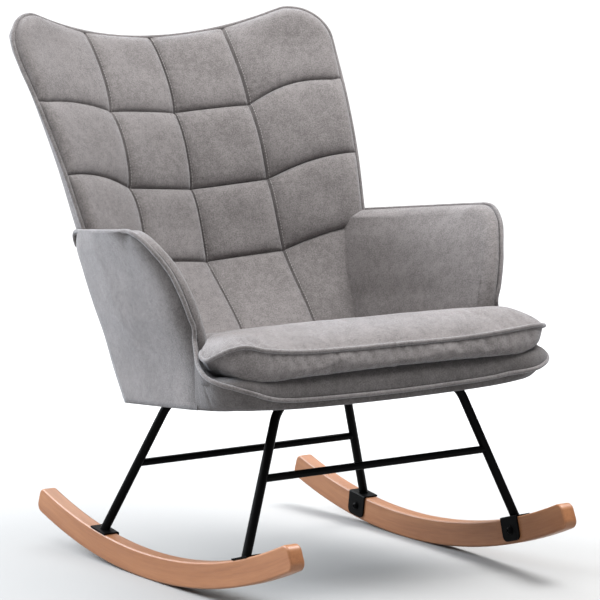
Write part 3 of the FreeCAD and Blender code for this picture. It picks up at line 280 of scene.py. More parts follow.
def tube(name, path, radius, body, up=(0, 0, 1), sides=10, replaced=()):
    """Welt: a covered cord along a path, its ends closed flat."""
    path = np.asarray(path, float)
    side, other = frames_along(path, np.asarray(up, float))
    rings = []
    for k in range(sides):
        turn = 2 * math.pi * k / sides
        rings.append(path + radius * (side * math.cos(turn) + other * math.sin(turn)))
    rings = np.stack(rings, 1)
    count = len(path)
    points = np.concatenate([rings.reshape(-1, 3), path[:1], path[-1:]])
    faces = grid_faces(count, sides, wrap=True)
    for k in range(sides):
        j = (k + 1) % sides
        faces.append((count * sides, j, k))
        faces.append((count * sides + 1, (count - 1) * sides + k, (count - 1) * sides + j))
    return make_mesh(name, points, faces, welt_cloth, body, replaced, weld=0.01)


# ------------------------------------------------------------------ materials
class Nodes:
    """Short way to write a node material. Noise scales are in cells per metre."""

    def __init__(self, name):
        self.material = bpy.data.materials.new(name)
        self.material.use_nodes = True
        self.tree = self.material.node_tree
        self.shader = self.tree.nodes["Principled BSDF"]
        self.position = self.add("ShaderNodeTexCoord").outputs["Object"]

    def add(self, kind, **settings):
        node = self.tree.nodes.new(kind)
        for key, setting in settings.items():
            setattr(node, key, setting)
        return node

    def link(self, source, target):
        self.tree.links.new(source, target)

    def stretched(self, scale, vector=None):
        node = self.add("ShaderNodeMapping")
        node.inputs["Scale"].default_value = scale
        self.link(vector or self.position, node.inputs["Vector"])
        return node.outputs["Vector"]

    def noise(self, scale, detail=3.0, roughness=0.55, vector=None, distortion=0.0):
        node = self.add("ShaderNodeTexNoise")
        node.inputs["Scale"].default_value = scale
        node.inputs["Detail"].default_value = detail
        node.inputs["Roughness"].default_value = roughness
        node.inputs["Distortion"].default_value = distortion
        self.link(vector or self.position, node.inputs["Vector"])
        return node.outputs["Fac"]

    def math(self, operation, a, b=None):
        node = self.add("ShaderNodeMath", operation=operation)
        for socket, number in zip(node.inputs, (a, b)):
            if number is None:
                continue
            if isinstance(number, (int, float)):
                socket.default_value = number
            else:
                self.link(number, socket)
        return node.outputs[0]

    def weighted(self, *terms):
        """Sum of values, each with its weight."""
        parts = [self.math("MULTIPLY", value, weight) for value, weight in terms]
        while len(parts) > 1:
            parts[:2] = [self.math("ADD", *parts[:2])]
        return parts[0]

    def spread(self, value, low, high, out_low=0.0, out_high=1.0):
        node = self.add("ShaderNodeMapRange")
        for key, number in zip(("From Min", "From Max", "To Min", "To Max"), (low, high, out_low, out_high)):
            node.inputs[key].default_value = number
        self.link(value, node.inputs["Value"])
        return node.outputs["Result"]

    def ramp(self, value, stops):
        node = self.add("ShaderNodeValToRGB")
        elements = node.color_ramp.elements
        while len(elements) < len(stops):
            elements.new(0.5)
        for element, (place, colour) in zip(elements, stops):
            element.position = place
            element.color = (*colour, 1)
        self.link(value, node.inputs["Fac"])
        return node.outputs["Color"]

    def bump(self, height, strength, distance, normal=None):
        node = self.add("ShaderNodeBump")
        node.inputs["Strength"].default_value = strength
        node.inputs["Distance"].default_value = distance
        self.link(height, node.inputs["Height"])
        if normal is not None:
            self.link(normal, node.inputs["Normal"])
        return node.outputs["Normal"]

    def set(self, **values):
        for key, item in values.items():
            socket = self.shader.inputs[key.replace("_", " ")]
            if isinstance(item, (int, float)):
                socket.default_value = item
            elif isinstance(item, tuple):
                socket.default_value = (*item, 1)
            else:
                self.link(item, socket)
        return self.material


def velvet(name, dark, light, sheen=0.30, tint=(0.84, 0.89, 0.97), painted_rim_shade=False):
    """Short-napped woven cloth: soft clouds where the nap lies differently, and a fine speckle.

    When the flag is set, a float attribute of the mesh with the flag's name scales the colour down: painted
    shade.
    """
    n = Nodes(name)
    clouds = n.noise(11, 5, 0.62, distortion=0.3)
    mottle = n.noise(85, 3, 0.6)
    speckle = n.noise(430, 3, 0.75)
    weave = n.noise(1150, 2, 0.6)
    tone = n.weighted((clouds, 0.20), (mottle, 0.20), (speckle, 0.60))
    colour = n.ramp(n.spread(tone, 0.42, 0.58), [(0.0, dark), (1.0, light)])
    # painted shade: the colour is multiplied by one minus the mesh attribute
    if painted_rim_shade:
        shade = n.add("ShaderNodeAttribute", attribute_name="painted_rim_shade").outputs["Fac"]
        scaled = n.add("ShaderNodeVectorMath", operation="SCALE")
        n.link(colour, scaled.inputs["Vector"])
        n.link(n.math("SUBTRACT", 1.0, shade), scaled.inputs["Scale"])
        colour = scaled.outputs["Vector"]
    normal = n.bump(n.math("ADD", speckle, weave), 0.6, 0.0012)
    normal = n.bump(n.noise(34, 3, 0.5), 0.10, 0.008, normal)
    return n.set(
        Base_Color=colour, Roughness=n.spread(speckle, 0.2, 0.8, 0.80, 0.95), Normal=normal,
        Sheen_Weight=sheen, Sheen_Roughness=0.38, Sheen_Tint=tint, Specular_IOR_Level=0.15,
    )


def dimmed(colour, share):
    return tuple(share * channel for channel in colour)


GREY_DARK = (0.112, 0.102, 0.100)
GREY_LIGHT = (0.196, 0.181, 0.179)
cloth = velvet("upholstery_cloth", GREY_DARK, GREY_LIGHT)
# arm panels' cloth: a mesh attribute darkens it beside the front piping as painted shade
arm_cloth_painted_shade = velvet("arm_cloth_painted_shade", GREY_DARK, GREY_LIGHT, painted_rim_shade=True)
welt_cloth = velvet("welt_cloth", dimmed(GREY_DARK, 0.94), GREY_LIGHT, 0.45)
# the same cloth at 60 % brightness with less sheen, for the seat's front cover and pad roll: painted shade
# for these shaded front faces
low_cloth_painted_shade = velvet("low_cloth_painted_shade", dimmed(GREY_DARK, 0.60), dimmed(GREY_LIGHT, 0.60), 0.20)


def timber(name, dark, light, bend_z):
    """Pale close-grained timber, its grain running round a bend whose centre is bend_z metres up."""
    n = Nodes(name)
    parts = n.add("ShaderNodeSeparateXYZ")
    n.link(n.position, parts.inputs[0])
    up = n.math("SUBTRACT", bend_z, parts.outputs["Z"])
    reach = n.math("SQRT", n.math("ADD", n.math("POWER", parts.outputs["Y"], 2.0), n.math("POWER", up, 2.0)))
    angle = n.math("ARCTAN2", parts.outputs["Y"], up)
    along = n.add("ShaderNodeCombineXYZ")
    n.link(parts.outputs["X"], along.inputs[0])
    n.link(reach, along.inputs[1])
    n.link(n.math("MULTIPLY", angle, bend_z), along.inputs[2])
    rings = n.noise(26, 4, 0.55, n.stretched((1.0, 1.6, 0.10), along.outputs[0]), 0.6)
    pores = n.noise(420, 2, 0.6, n.stretched((1.0, 1.0, 0.045), along.outputs[0]))
    flecks = n.noise(150, 2, 0.5, n.stretched((0.5, 1.0, 0.22), along.outputs[0]))
    tone = n.weighted((rings, 0.62), (pores, 0.26), (flecks, 0.12))
    middle = tuple((a + b) / 2 for a, b in zip(dark, light))
    colour = n.ramp(n.spread(tone, 0.36, 0.66), [(0.0, dark), (0.5, middle), (1.0, light)])
    normal = n.bump(pores, 0.12, 0.0006)
    return n.set(
        Base_Color=colour, Roughness=n.spread(pores, 0.2, 0.8, 0.36, 0.50), Normal=normal,
        Coat_Weight=0.10, Coat_Roughness=0.32, Specular_IOR_Level=0.4,
    )


ROCKER_BEND_Z = 1.107
NO_BEND_Z = 9.0  # so far away that the grain runs straight
rocker_wood = timber("rocker_timber", (0.205, 0.077, 0.029), (0.315, 0.138, 0.060), ROCKER_BEND_Z)
frame_wood = timber("frame_timber", (0.26, 0.17, 0.095), (0.38, 0.27, 0.165), NO_BEND_Z)


def powder_coat():
    """Satin black powder coat with a faint orange peel."""
    n = Nodes("black_powder_coat")
    peel = n.noise(520, 2, 0.5)
    dust = n.noise(14, 4, 0.6)
    black, dusty = (0.0015, 0.0015, 0.0017), (0.003, 0.003, 0.0032)
    colour = n.ramp(n.spread(dust, 0.3, 0.7), [(0.0, black), (1.0, dusty)])
    return n.set(
        Base_Color=colour, Roughness=n.spread(n.noise(60, 3), 0.3, 0.7, 0.30, 0.42),
        Normal=n.bump(peel, 0.15, 0.0005), Specular_IOR_Level=0.04,
    )


def zinc():
    """Zinc plate, for the hidden screws, washers and springs."""
    n = Nodes("zinc_plate")
    colour = n.ramp(n.noise(90, 3), [(0.3, (0.42, 0.42, 0.40)), (0.7, (0.62, 0.61, 0.57))])
    return n.set(
        Base_Color=colour, Metallic=1.0, Roughness=n.spread(n.noise(240, 2), 0.3, 0.7, 0.28, 0.46),
        Normal=n.bump(n.noise(700, 2), 0.1, 0.0004),
    )


def dust_cloth_material():
    """Thin black non-woven cloth."""
    n = Nodes("black_dust_cloth")
    fibres = n.noise(900, 2, 0.7, n.stretched((1, 0.25, 1)))
    dark, light = (0.012, 0.012, 0.013), (0.036, 0.036, 0.038)
    colour = n.ramp(n.spread(fibres, 0.3, 0.7), [(0.0, dark), (1.0, light)])
    return n.set(
        Base_Color=colour, Roughness=0.92, Normal=n.bump(fibres, 0.4, 0.001),
        Sheen_Weight=0.15, Sheen_Roughness=0.5,
    )


def thread_material():
    """Twisted sewing thread."""
    n = Nodes("sewing_thread")
    twist = n.noise(1400, 1, 0.5)
    colour = n.ramp(twist, [(0.3, (0.24, 0.225, 0.215)), (0.7, (0.42, 0.40, 0.385))])
    return n.set(Base_Color=colour, Roughness=0.7, Normal=n.bump(twist, 0.3, 0.0005), Sheen_Weight=0.3)


black_steel = powder_coat()
zinc_steel = zinc()
dust_cloth = dust_cloth_material()
thread = thread_material()
SLOT_MATERIALS = {
    "rocker_wood": rocker_wood, "black_steel": black_steel, "zinc_steel": zinc_steel,
    "frame_wood": frame_wood, "dust_cloth": dust_cloth, "upholstery": cloth,
    "piping_cloth": welt_cloth, "cushion_filling": cloth,
}
for entry in frame["record"]["subparts"]:
    for material_slot in nodes[entry["node"]].material_slots:
        material_slot.material = SLOT_MATERIALS[entry["material_slot"]]


# ------------------------------------------------------------------ back: outline and faces
BACK_BOTTOM, SHOULDER_Z, TOP_DIP = 299.0, 888.0, 899.0
TOP_RADIUS = 762.6
SHOULDER_X, SHOULDER_CENTRE_Z, SHOULDER_RADIUS = 285.0, 891.0, 57.0
BACK_HALF_LOW, BACK_HALF_HIGH = 259, 342
PIPING, CUSHION_PIPING = 3.9, 3.7  # radii


def back_half_width(z):
    share = (np.minimum(z, SHOULDER_Z) - BACK_BOTTOM) / (SHOULDER_Z - BACK_BOTTOM)
    return BACK_HALF_LOW + (BACK_HALF_HIGH - BACK_HALF_LOW) * share


def back_top(x):
    """Height of the back's upper edge: a dip in the middle and two round shoulders."""
    x = np.abs(x)
    dip = TOP_DIP + TOP_RADIUS - np.sqrt(np.maximum(TOP_RADIUS**2 - x**2, 0))
    inside = np.clip((x - SHOULDER_X) / SHOULDER_RADIUS, 0, 1)
    shoulder = SHOULDER_CENTRE_Z + SHOULDER_RADIUS * np.sqrt(1 - inside**2)
    inner = SHOULDER_CENTRE_Z + SHOULDER_RADIUS + 0.25 * (SHOULDER_X - x)
    shoulder = np.where(x < SHOULDER_X, inner, shoulder)
    # the lower of the two, blended over a few mm; the level keeps the powers small
    soft, level = 3.0, 900
    return -soft * np.log(np.exp(-(dip - level) / soft) + np.exp(-(shoulder - level) / soft)) + level


def back_face(x, z):
    """Depth y of the sewn-down front of the back, which its seams and piping follow."""
    middle = hermite(z, [290, 346, 394, 500, 628, 764, 899, 952], [60, 103, 148, 249, 301, 356, 443, 476])
    edge = hermite(z, [290, 394, 500, 588, 684, 798, 888, 952], [58, 100, 146, 181, 220, 281, 338, 368])
    share = np.abs(x) / back_half_width(z)
    return middle - (middle - edge) * share**1.6


SEAM_LINES = (500.0, 628.0, 764.0)
SEAM_RISE = (6.2e-4, 5.66e-4, 4.46e-4)
COLUMN_SEAM = 150.0
OUTER_COLUMN = 165
QUILT_BOTTOM = 348.0
# how the outer columns' seams arch: swell in the middle and shift at the rim, left and right
SEAM_ARCH = (((6.0, 0.0), (8.0, 0.0)), ((9.0, -7.0), (11.0, 2.0)), ((4.0, -10.0), (16.0, 6.0)))


def row_line(row, x):
    """Height of horizontal seam number row; 0 is the pad's lower edge and 4 its upper edge."""
    if row == 0:
        return np.full_like(x, QUILT_BOTTOM)
    if row == 4:
        return back_top(x)
    share = np.clip((np.abs(x) - COLUMN_SEAM) / OUTER_COLUMN, 0, 1)
    (left_arch, left_rim), (right_arch, right_rim) = SEAM_ARCH[row - 1]
    arch = np.where(x < 0, left_arch, right_arch)
    rim = np.where(x < 0, left_rim, right_rim)
    line = SEAM_LINES[row - 1] + SEAM_RISE[row - 1] * x**2
    return line + arch * np.sin(math.pi * share) + rim * share**2


def spaced(count):
    """Places across a panel, closer together near its seams."""
    t = np.linspace(0, 1, count)
    return 0.35 * t + 0.65 * (0.5 - 0.5 * np.cos(math.pi * t))


def back_grid(panel=44):
    """Grid over the back: x, z, panel coordinates a and b, and the column and row of each point."""
    steps = spaced(panel + 1)
    parts = [steps] + [steps[1:]] * 3
    places = np.concatenate(parts)
    panels = np.repeat(np.arange(4), [len(part) for part in parts])
    A, B = np.meshgrid(places, places)
    C, R = np.meshgrid(panels, panels)
    in_column, in_row = [C == k for k in range(4)], [R == k for k in range(4)]
    outer = (C == 0) | (C == 3)
    across = np.where(C == 0, 1 - A, A)
    bent = np.where(outer, 1 - (1 - across) ** 1.5, across)
    bent = np.where(C == 0, 1 - bent, bent)
    x = np.zeros_like(A)
    z = np.full_like(A, 640.0)
    for _ in range(6):
        half = back_half_width(z)
        seams = [-half, np.full_like(half, -COLUMN_SEAM), 0 * half, np.full_like(half, COLUMN_SEAM), half]
        left, right = np.select(in_column, seams[:4]), np.select(in_column, seams[1:])
        x = left + (right - left) * bent
        lines = [row_line(k, x) for k in range(5)]
        low, high = np.select(in_row, lines[:4]), np.select(in_row, lines[1:])
        z = low + (high - low) * B
    return x, z, A, B, C, R


def surface_normals(grid):
    """Unit vectors square to a grid's surface."""
    du = np.gradient(grid, axis=1)
    dv = np.gradient(grid, axis=0)
    n = np.cross(du, dv)
    return n / np.maximum(np.linalg.norm(n, axis=-1), 1e-9)[..., None]


# the quilt's fullness, the size of its panels, and the gathers and grooves beside its seams
QUILT_FULL, QUILT_FULL_LOW_ROW = 22.0, 14.0
PANEL_WIDE, PANEL_HIGH = 150, 130
GATHER_AT, GATHER_WIDE = 6, 9
GROOVE_DEEP, GROOVE_WIDE = 1.28, 1.6


def build_back_pad():
    """Quilted front of the back: four by four stuffed panels between sewn-down seams."""
    x, z, a, b, column, row = back_grid()
    face = np.stack([x, back_face(x, z), z], -1)
    outward = surface_normals(face)
    outward = np.where(outward[..., 1:2] > 0, -outward, outward)
    outer = (column == 0) | (column == 3)
    to_rim = np.where(column == 0, 1 - a, a)
    rim_a = np.where(outer, 1 - to_rim**6, 1.0)
    rim_b = np.where(row == 3, 1 - b**6, 1.0)
    low_row = row == 0
    depth = np.where(low_row, QUILT_FULL_LOW_ROW, QUILT_FULL)
    full = depth * pillow(a, 2.7, 0.50) * pillow(b, 2.7, 0.50)
    bow_a = np.sin(math.pi * b) ** 0.7 * np.where(low_row, 6.0, 10.0) * rim_a
    bow_b = np.sin(math.pi * a) ** 0.7 * 8.5 * rim_b
    bow = bow_a * (1 - pillow(a, 2.2, 1.0)) + bow_b * (1 - pillow(b, 2.2, 1.0))
    uneven = wave_noise(face, 170, 4) * 2.0 * pillow(a) * pillow(b)
    # gathers run square to each seam and fade out a couple of centimetres from it
    side_a = np.minimum(a, 1 - a) * PANEL_WIDE
    side_b = np.minimum(b, 1 - b) * PANEL_HIGH
    gather_a = np.exp(-((side_a - GATHER_AT) / GATHER_WIDE) ** 2) * gathers(z, x, 5)
    gather_b = np.exp(-((side_b - GATHER_AT) / GATHER_WIDE) ** 2) * gathers(x, z, 6)
    groove = np.exp(-(side_a / GROOVE_WIDE) ** 2) * rim_a + np.exp(-(side_b / GROOVE_WIDE) ** 2) * rim_b
    height = full + bow + uneven + gather_a + gather_b - GROOVE_DEEP * groove
    front = face + outward * height[..., None]
    rear = face + np.array([0, 1, 0]) * (16 * pillow_edge(a, b, column, row))[..., None]
    points, faces = slab(front, rear)
    build_stitches(front, column)
    make_cover("back_quilt", points, faces, cloth, ("back_pad",))


def gathers(along, across, seed):
    """Fine uneven ripples along a seam, as heights in mm."""
    strength = 0.55 + 0.45 * wave_noise(np.stack([along, across], -1), 60, seed, 2)
    return 0.75 * strength * np.sin(along / 9.5 * 2 * math.pi + 2.2 * np.sin(along / 31 + across / 70))


STITCH_PITCH, STITCH_LONG, STITCH_PROUD = 5.6, 3.6, 0.1


def build_stitches(front, column):
    """Dashes of thread beside the upright seams."""
    points, faces = [], []
    for seam in range(1, 4):
        line = front[:, int(np.argmax(column[0] == seam)) + 1]
        length = lengths_along(line)
        for start in np.arange(6, length[-1] - 6, STITCH_PITCH):
            ends = [
                np.array([np.interp(place, length, line[:, k]) for k in range(3)]) - (0, STITCH_PROUD, 0)
                for place in (start, start + STITCH_LONG)
            ]
            add_stitch(points, faces, *ends)
    make_mesh("back_stitching", np.array(points), faces, thread, "chair")


def add_stitch(points, faces, start, end, radius=0.5, sides=6):
    """One dash of thread: a thin rod that thins at both ends."""
    along = unit(end - start)
    side = unit(np.cross(along, (0.3, 1, 0.2)))
    other = np.cross(along, side)
    first = len(points)
    places = ((0.0, 0.25), (0.2, 1.0), (0.8, 1.0), (1.0, 0.25))
    for share, thick in places:
        for k in range(sides):
            turn = 2 * math.pi * k / sides
            offset = radius * thick * (side * math.cos(turn) + other * math.sin(turn))
            points.append(start + (end - start) * share + offset)
    faces += grid_faces(len(places), sides, first, wrap=True)
    faces.append(tuple(first + k for k in range(sides)))
    faces.append(tuple(first + (len(places) - 1) * sides + k for k in reversed(range(sides))))


def pillow_edge(a, b, column, row):
    """0 on the back's outline and 1 a little way in."""
    to_rim = np.where(column == 0, a, np.where(column == 3, 1 - a, 1.0))
    down = np.where(row == 3, 1 - b, np.where(row == 0, b, 1.0))
    return np.clip(to_rim / 0.25, 0, 1) ** 0.5 * np.clip(down / 0.25, 0, 1) ** 0.5


def build_back_cover():
    """Smooth rear panel of the back, its sides wrapping round to the piping."""
    columns, rows = 61, 71
    u = np.linspace(-1, 1, columns)
    u = np.sign(u) * (1 - (1 - np.abs(u)) ** 1.5)
    v = np.linspace(0, 1, rows)
    v = 1 - (1 - v) ** 1.3
    U, V = np.meshgrid(u, v)
    z = np.full_like(U, 600.0)
    for _ in range(6):
        flare = hermite(np.clip(z, 299, 400), [299, 325, 400], [25, 21, 0])
        x = U * (back_half_width(z) + flare)
        z = 300 + (back_top(x) - 300) * V
    face_y = back_face(x, z) + 1.5
    face = np.stack([x, face_y, z], -1)
    wall = hermite(z, [299, 420, 590, 700, 820, 900, 952], [20, 24, 29, 22, 13, 6, 4])
    deep = hermite(z, [299, 394, 500, 628, 764, 899, 952], [20, 30, 26, 18, 14, 8, 6])
    from_side = np.clip((1 - np.abs(U)) / 0.22, 0, 1)
    from_top = np.clip((1 - V) / 0.12, 0, 1)
    rise = (1 - (1 - from_side) ** 2) * (1 - (1 - from_top) ** 2)
    rear = face + np.array([0, 1, 0]) * (wall + deep * rise * 0.6)[..., None]
    rear[..., 0] *= 1 - 0.010 * (1 - rise)
    rim = np.minimum((1 - np.abs(U)) * back_half_width(z), back_top(x) - z)
    away = np.clip(rim / 14, 0, 1)
    rear[..., 1] += clearance("back_board", rear, (0, 1, 0), 2.5, 4) * away * (2 - away)
    front_rim, rear_rim = rim_ring(face), rim_ring(rear)
    centre = np.array([0, 0, 640.0])
    outward = front_rim - centre
    outward[:, 1] = 0
    outward = unit(outward)
    outward[front_rim[:, 2] < 302] = 0
    walls = []
    for k in range(1, 6):
        t = k / 6
        ring = front_rim + (rear_rim - front_rim) * t
        walls.append(ring + outward * (1.6 * math.sin(math.pi * t)))
    points, faces = slab(face, rear, walls)
    make_cover("back_rear_panel", points, faces, cloth, ("back_cover",))


def back_rim_path():
    """Line of the piping from one arm up round the back to the other arm."""
    side_z = np.linspace(560, SHOULDER_Z, 40)
    side = np.stack([back_half_width(side_z) + 1.0, side_z], -1)
    turn = np.linspace(0, math.pi / 2, 24)
    round_x = SHOULDER_X + (SHOULDER_RADIUS - 1) * np.cos(turn)
    across = np.linspace(SHOULDER_X - 6, 0, 60)
    half = [side]
    half.append(np.stack([round_x + 1.0 * np.cos(turn), back_top(round_x) + 1.0 * np.sin(turn)], -1)[1:])
    half.append(np.stack([across, back_top(across) + 1.0], -1))
    right = np.concatenate(half)
    left = right[:-1][::-1] * np.array([-1, 1])
    line = np.concatenate([right, left])
    path = np.stack([line[:, 0], back_face(line[:, 0], line[:, 1]) - 2.0, line[:, 1]], -1)
    return smooth_curve(path[::4], 420)


# ------------------------------------------------------------------ arms
ARM_Z = [-17, 40, 100, 140, 180, 220, 250, 270, 282]
ARM_FRONT_X = [318, 316, 316, 322.4, 331.6, 342.7, 355.7, 365, 373]
ARM_REAR_X = [285, 288, 291, 295, 298, 301, 305, 306, 307]
ARM_FRONT_LOW, ARM_TOP, ARM_TURN_Y, ARM_TURN_Z = -214.0, 282.0, -118.0, 130.0
ARM_TOP_REAR_Y = 150
# painted shade beside the arms' front piping: how much it darkens at the piping and how far (mm) it reaches
PAINTED_RIM_SHADE, PAINTED_RIM_SHADE_REACH = 0.55, 26
# the pad's rolled edge: how far it turns, how much of its width lies before the crest, the crest's height
# over the piping, and the drop from the crest to the pad's face
ROLL_TURN = math.radians(50)
CREST_SHARE, CREST, ROLL_DROP = 0.30, 1.0, 17.0
ARM_CENTRE_Y, ARM_CENTRE_Z = -10.0, 120.0
PAD_CROWN, PAD_CROWN_REACH, PAD_LIP_REACH, PAD_REAR_RADIUS = 10, 110, 70, 15.0


def arm_front_y(z):
    """Front outline of an arm in the seat frame: upright, then a big round corner to the top."""
    rise = np.clip((z - ARM_TURN_Z) / (ARM_TOP - ARM_TURN_Z), 0, 1)
    return ARM_TURN_Y - (ARM_TURN_Y - ARM_FRONT_LOW) * np.sqrt(1 - rise**2)


def arm_top_z(y):
    """The same outline as a height over y."""
    forward = np.clip((ARM_TURN_Y - y) / (ARM_TURN_Y - ARM_FRONT_LOW), 0, 1)
    return ARM_TURN_Z + (ARM_TOP - ARM_TURN_Z) * np.sqrt(1 - forward**2)


def arm_rear_y(z):
    """Line where an arm meets the back's rear panel."""
    return hermite(z, [-17, 40, 115, 160, 201, 238, 262, 282], [72, 96, 122, 140, 155, 165, 167, 158])


def arm_outer_x(y, z):
    """Distance of an arm's outer face from the middle plane, in the seat frame."""
    y, z = np.asarray(y, float), np.asarray(z, float)
    front = hermite(z, ARM_Z, ARM_FRONT_X)
    rear = hermite(z, ARM_Z, ARM_REAR_X)
    turn = np.clip((z - ARM_TURN_Z) / (ARM_TOP - ARM_TURN_Z), 0, 1)
    fy, ry = ARM_FRONT_LOW + (ARM_TURN_Y - ARM_FRONT_LOW) * turn, arm_rear_y(z)
    t = np.clip((y - ry) / (fy - ry), 0, 1.3)
    return rear + (front - rear) * t**1.25 + arm_bulge(y, z, 24, 4, 15)


def line_distance(y, z, line):
    """Distance (mm) in side view from the nearest point of a line."""
    return np.hypot(y[..., None] - line[:, 0], z[..., None] - line[:, 1]).min(axis=-1)


def front_distance(y, z):
    """Distance (mm) in side view from an arm's front edge and the turn above it."""
    edge = arm_edge_line(200)
    return line_distance(y, z, edge[edge[:, 0] <= ARM_TURN_Y + 1])


def arm_bulge(y, z, roll, low, high):
    """Bulge of an arm's outer side (mm), low near the seat and high above.

    It rises from the front edge within a rolled zone and is gone at the rear.
    """
    full = low + (high - low) * np.clip((z - 40) / 90, 0, 1)
    rear = np.clip((arm_rear_y(z) - y) / 130, 0, 1) ** 0.6
    return full * (1 - np.exp(-front_distance(y, z) / roll)) * rear


def arm_grid(columns=46, rows=44, low=-17.0, behind=0.0):
    """Grid over an arm's side view: y from rear to front, z from the bottom up to the outline.

    Also each point's share of the way forwards and upwards.
    """
    s = np.linspace(0, 1, columns)
    s = 1 - (1 - s) ** 1.7
    t = np.linspace(0, 1, rows)
    t = 1 - (1 - t) ** 1.5
    S, T = np.meshgrid(s, t)
    z = np.full_like(S, 100.0)
    y = np.zeros_like(S)
    for _ in range(8):
        rear = arm_rear_y(z) + behind
        y = rear + (ARM_FRONT_LOW - rear) * S
        z = low + (arm_top_z(y) - low) * T
    return y, z, S, T


def arm_top_line():
    """The arm's outline in side view, from the wing forwards and round the turn: pairs y, z."""
    top = np.linspace(ARM_TOP_REAR_Y, ARM_TURN_Y, 30)
    turn = np.linspace(0, math.pi / 2, 30)[1:]
    y = np.concatenate([top, ARM_TURN_Y - (ARM_TURN_Y - ARM_FRONT_LOW) * np.sin(turn)])
    z = np.concatenate([np.full_like(top, ARM_TOP), ARM_TURN_Z + (ARM_TOP - ARM_TURN_Z) * np.cos(turn)])
    return np.stack([y, z], -1)


def arm_edge_line(count):
    """The same outline, carried on down the front to the seat frame."""
    front = np.array([(ARM_FRONT_LOW, 65.0), (ARM_FRONT_LOW, 0.0)])
    return smooth_curve(np.concatenate([arm_top_line(), front])[::2], count)


def paint_rim_shade(panel):
    """Paint shade into an arm panel's colour beside the piping on its front edge, as a mesh attribute."""
    corners = np.empty(3 * len(panel.data.vertices))
    panel.data.vertices.foreach_get("co", corners)
    _, y, z = corners.reshape(-1, 3).T / MM
    z = z - SEAT_HEIGHT
    c, s = math.cos(SEAT_TILT), math.sin(SEAT_TILT)
    distance = front_distance(y * c - z * s, y * s + z * c)
    shade = panel.data.attributes.new("painted_rim_shade", "FLOAT", "POINT")
    # painted shade: strongest at the piping, fading with distance from it
    shade.data.foreach_set("value", PAINTED_RIM_SHADE * np.exp(-((distance / PAINTED_RIM_SHADE_REACH) ** 1.3)))


def build_arm(side, label):
    """Outer cover of an arm, clear of the board inside it, and then its pad."""
    y, z, _, t = arm_grid()
    outer_x = arm_outer_x(y, z) + arm_bulge(y, z, 15, 1, 10)
    outer = np.stack([side * outer_x, y, z], -1)
    inner = np.stack([side * (outer_x - 6), y, z], -1)
    push = clearance("arm_board_" + label, seat_to_world(outer), (side, 0, 0), 1.5, 2)
    outer[..., 0] += side * push * np.clip((1 - t) / 0.03, 0, 1)
    points, faces = slab(seat_to_world(outer), seat_to_world(inner))
    # the outer panel's colour gets painted shade beside the front piping
    paint_rim_shade(make_cover("arm_outer_" + label, points, faces, arm_cloth_painted_shade, ("arm_cover_" + label,)))
    build_arm_pad(side, label)


def pad_roll(side, ring_a, ring_b, shares, steps=12):
    """Rings between a pad's outer and inner rims: rolled on its front and top, straight elsewhere."""
    out = ring_a - (0, ARM_CENTRE_Y, ARM_CENTRE_Z)
    out[:, 0] = 0
    out = unit(out)
    weight = np.maximum(shares[:, 0] > 0.999, shares[:, 1] > 0.999).astype(float)
    width = np.abs(ring_b[:, 0] - ring_a[:, 0])
    walls = []
    for k in range(1, steps):
        phi = k / steps * math.pi
        if phi < math.pi / 2:
            inward, rise = CREST_SHARE * (1 - math.cos(phi)), CREST * math.sin(phi)
        else:
            turn = (phi / math.pi - 0.5) * 2 * ROLL_TURN
            inward = CREST_SHARE + (1 - CREST_SHARE) * math.sin(turn) / math.sin(ROLL_TURN)
            rise = CREST - (CREST + ROLL_DROP) * (1 - math.cos(turn)) / (1 - math.cos(ROLL_TURN))
        straight = ring_a + (ring_b - ring_a) * (k / steps)
        rolled = ring_a.copy()
        rolled[:, 0] -= side * width * inward
        rolled += out * rise
        walls.append(straight + (rolled - straight) * weight[:, None])
    return walls


def build_arm_pad(side, label):
    """Inner pad of an arm: rolls over from the piping on its front and top edges, then crowns inwards."""
    y, z, s, t = arm_grid(columns=64, rows=60, low=24.0, behind=7.0)
    outer_x = arm_outer_x(y, z)
    front_thick = hermite(z, [24, 100, 200, 282], [38, 37, 33, 29])
    rear_thick = hermite(z, [24, 88, 130, 166, 202, 256, 282], [66, 64, 60, 59, 56, 54, 50])
    thick = rear_thick + (front_thick - rear_thick) * s**0.8
    inward_y, inward_z = ARM_CENTRE_Y - y, ARM_CENTRE_Z - z
    reach = np.hypot(inward_y, inward_z)
    length = arm_rear_y(z) - arm_front_y(z)
    rim_distance = line_distance(y, z, arm_edge_line(240))
    lip = np.clip(1 - rim_distance / PAD_LIP_REACH, 0, 1) ** 2
    face_y = y + inward_y / reach * ROLL_DROP * lip
    face_z = z + inward_z / reach * ROLL_DROP * lip
    crown_share = np.clip(rim_distance / PAD_CROWN_REACH, 0, 1)
    crown = PAD_CROWN * np.sin(0.5 * math.pi * crown_share)
    to_rear = np.clip((PAD_REAR_RADIUS - s * length) / PAD_REAR_RADIUS, 0, 1)
    rear_round = PAD_REAR_RADIUS * (1 - np.sqrt(1 - np.minimum(to_rear, 0.98) ** 2))
    puff = wave_noise(np.stack([y, z], -1), 150, 9 + int(side)) * 2.0 * crown_share
    face_x = arm_outer_x(face_y, face_z) - thick - crown + rear_round - puff
    inner_face = np.stack([side * face_x, face_y, face_z], -1)
    back_plane = np.stack([side * (outer_x - 5.5), y, z], -1)
    walls = pad_roll(side, rim_ring(back_plane), rim_ring(inner_face), rim_ring(np.stack([s, t, s], -1)))
    points, faces = slab(
        seat_to_world(back_plane), seat_to_world(inner_face), [seat_to_world(w) for w in walls]
    )
    make_cover("arm_pad_soft_" + label, points, faces, cloth, ("arm_pad_" + label,))


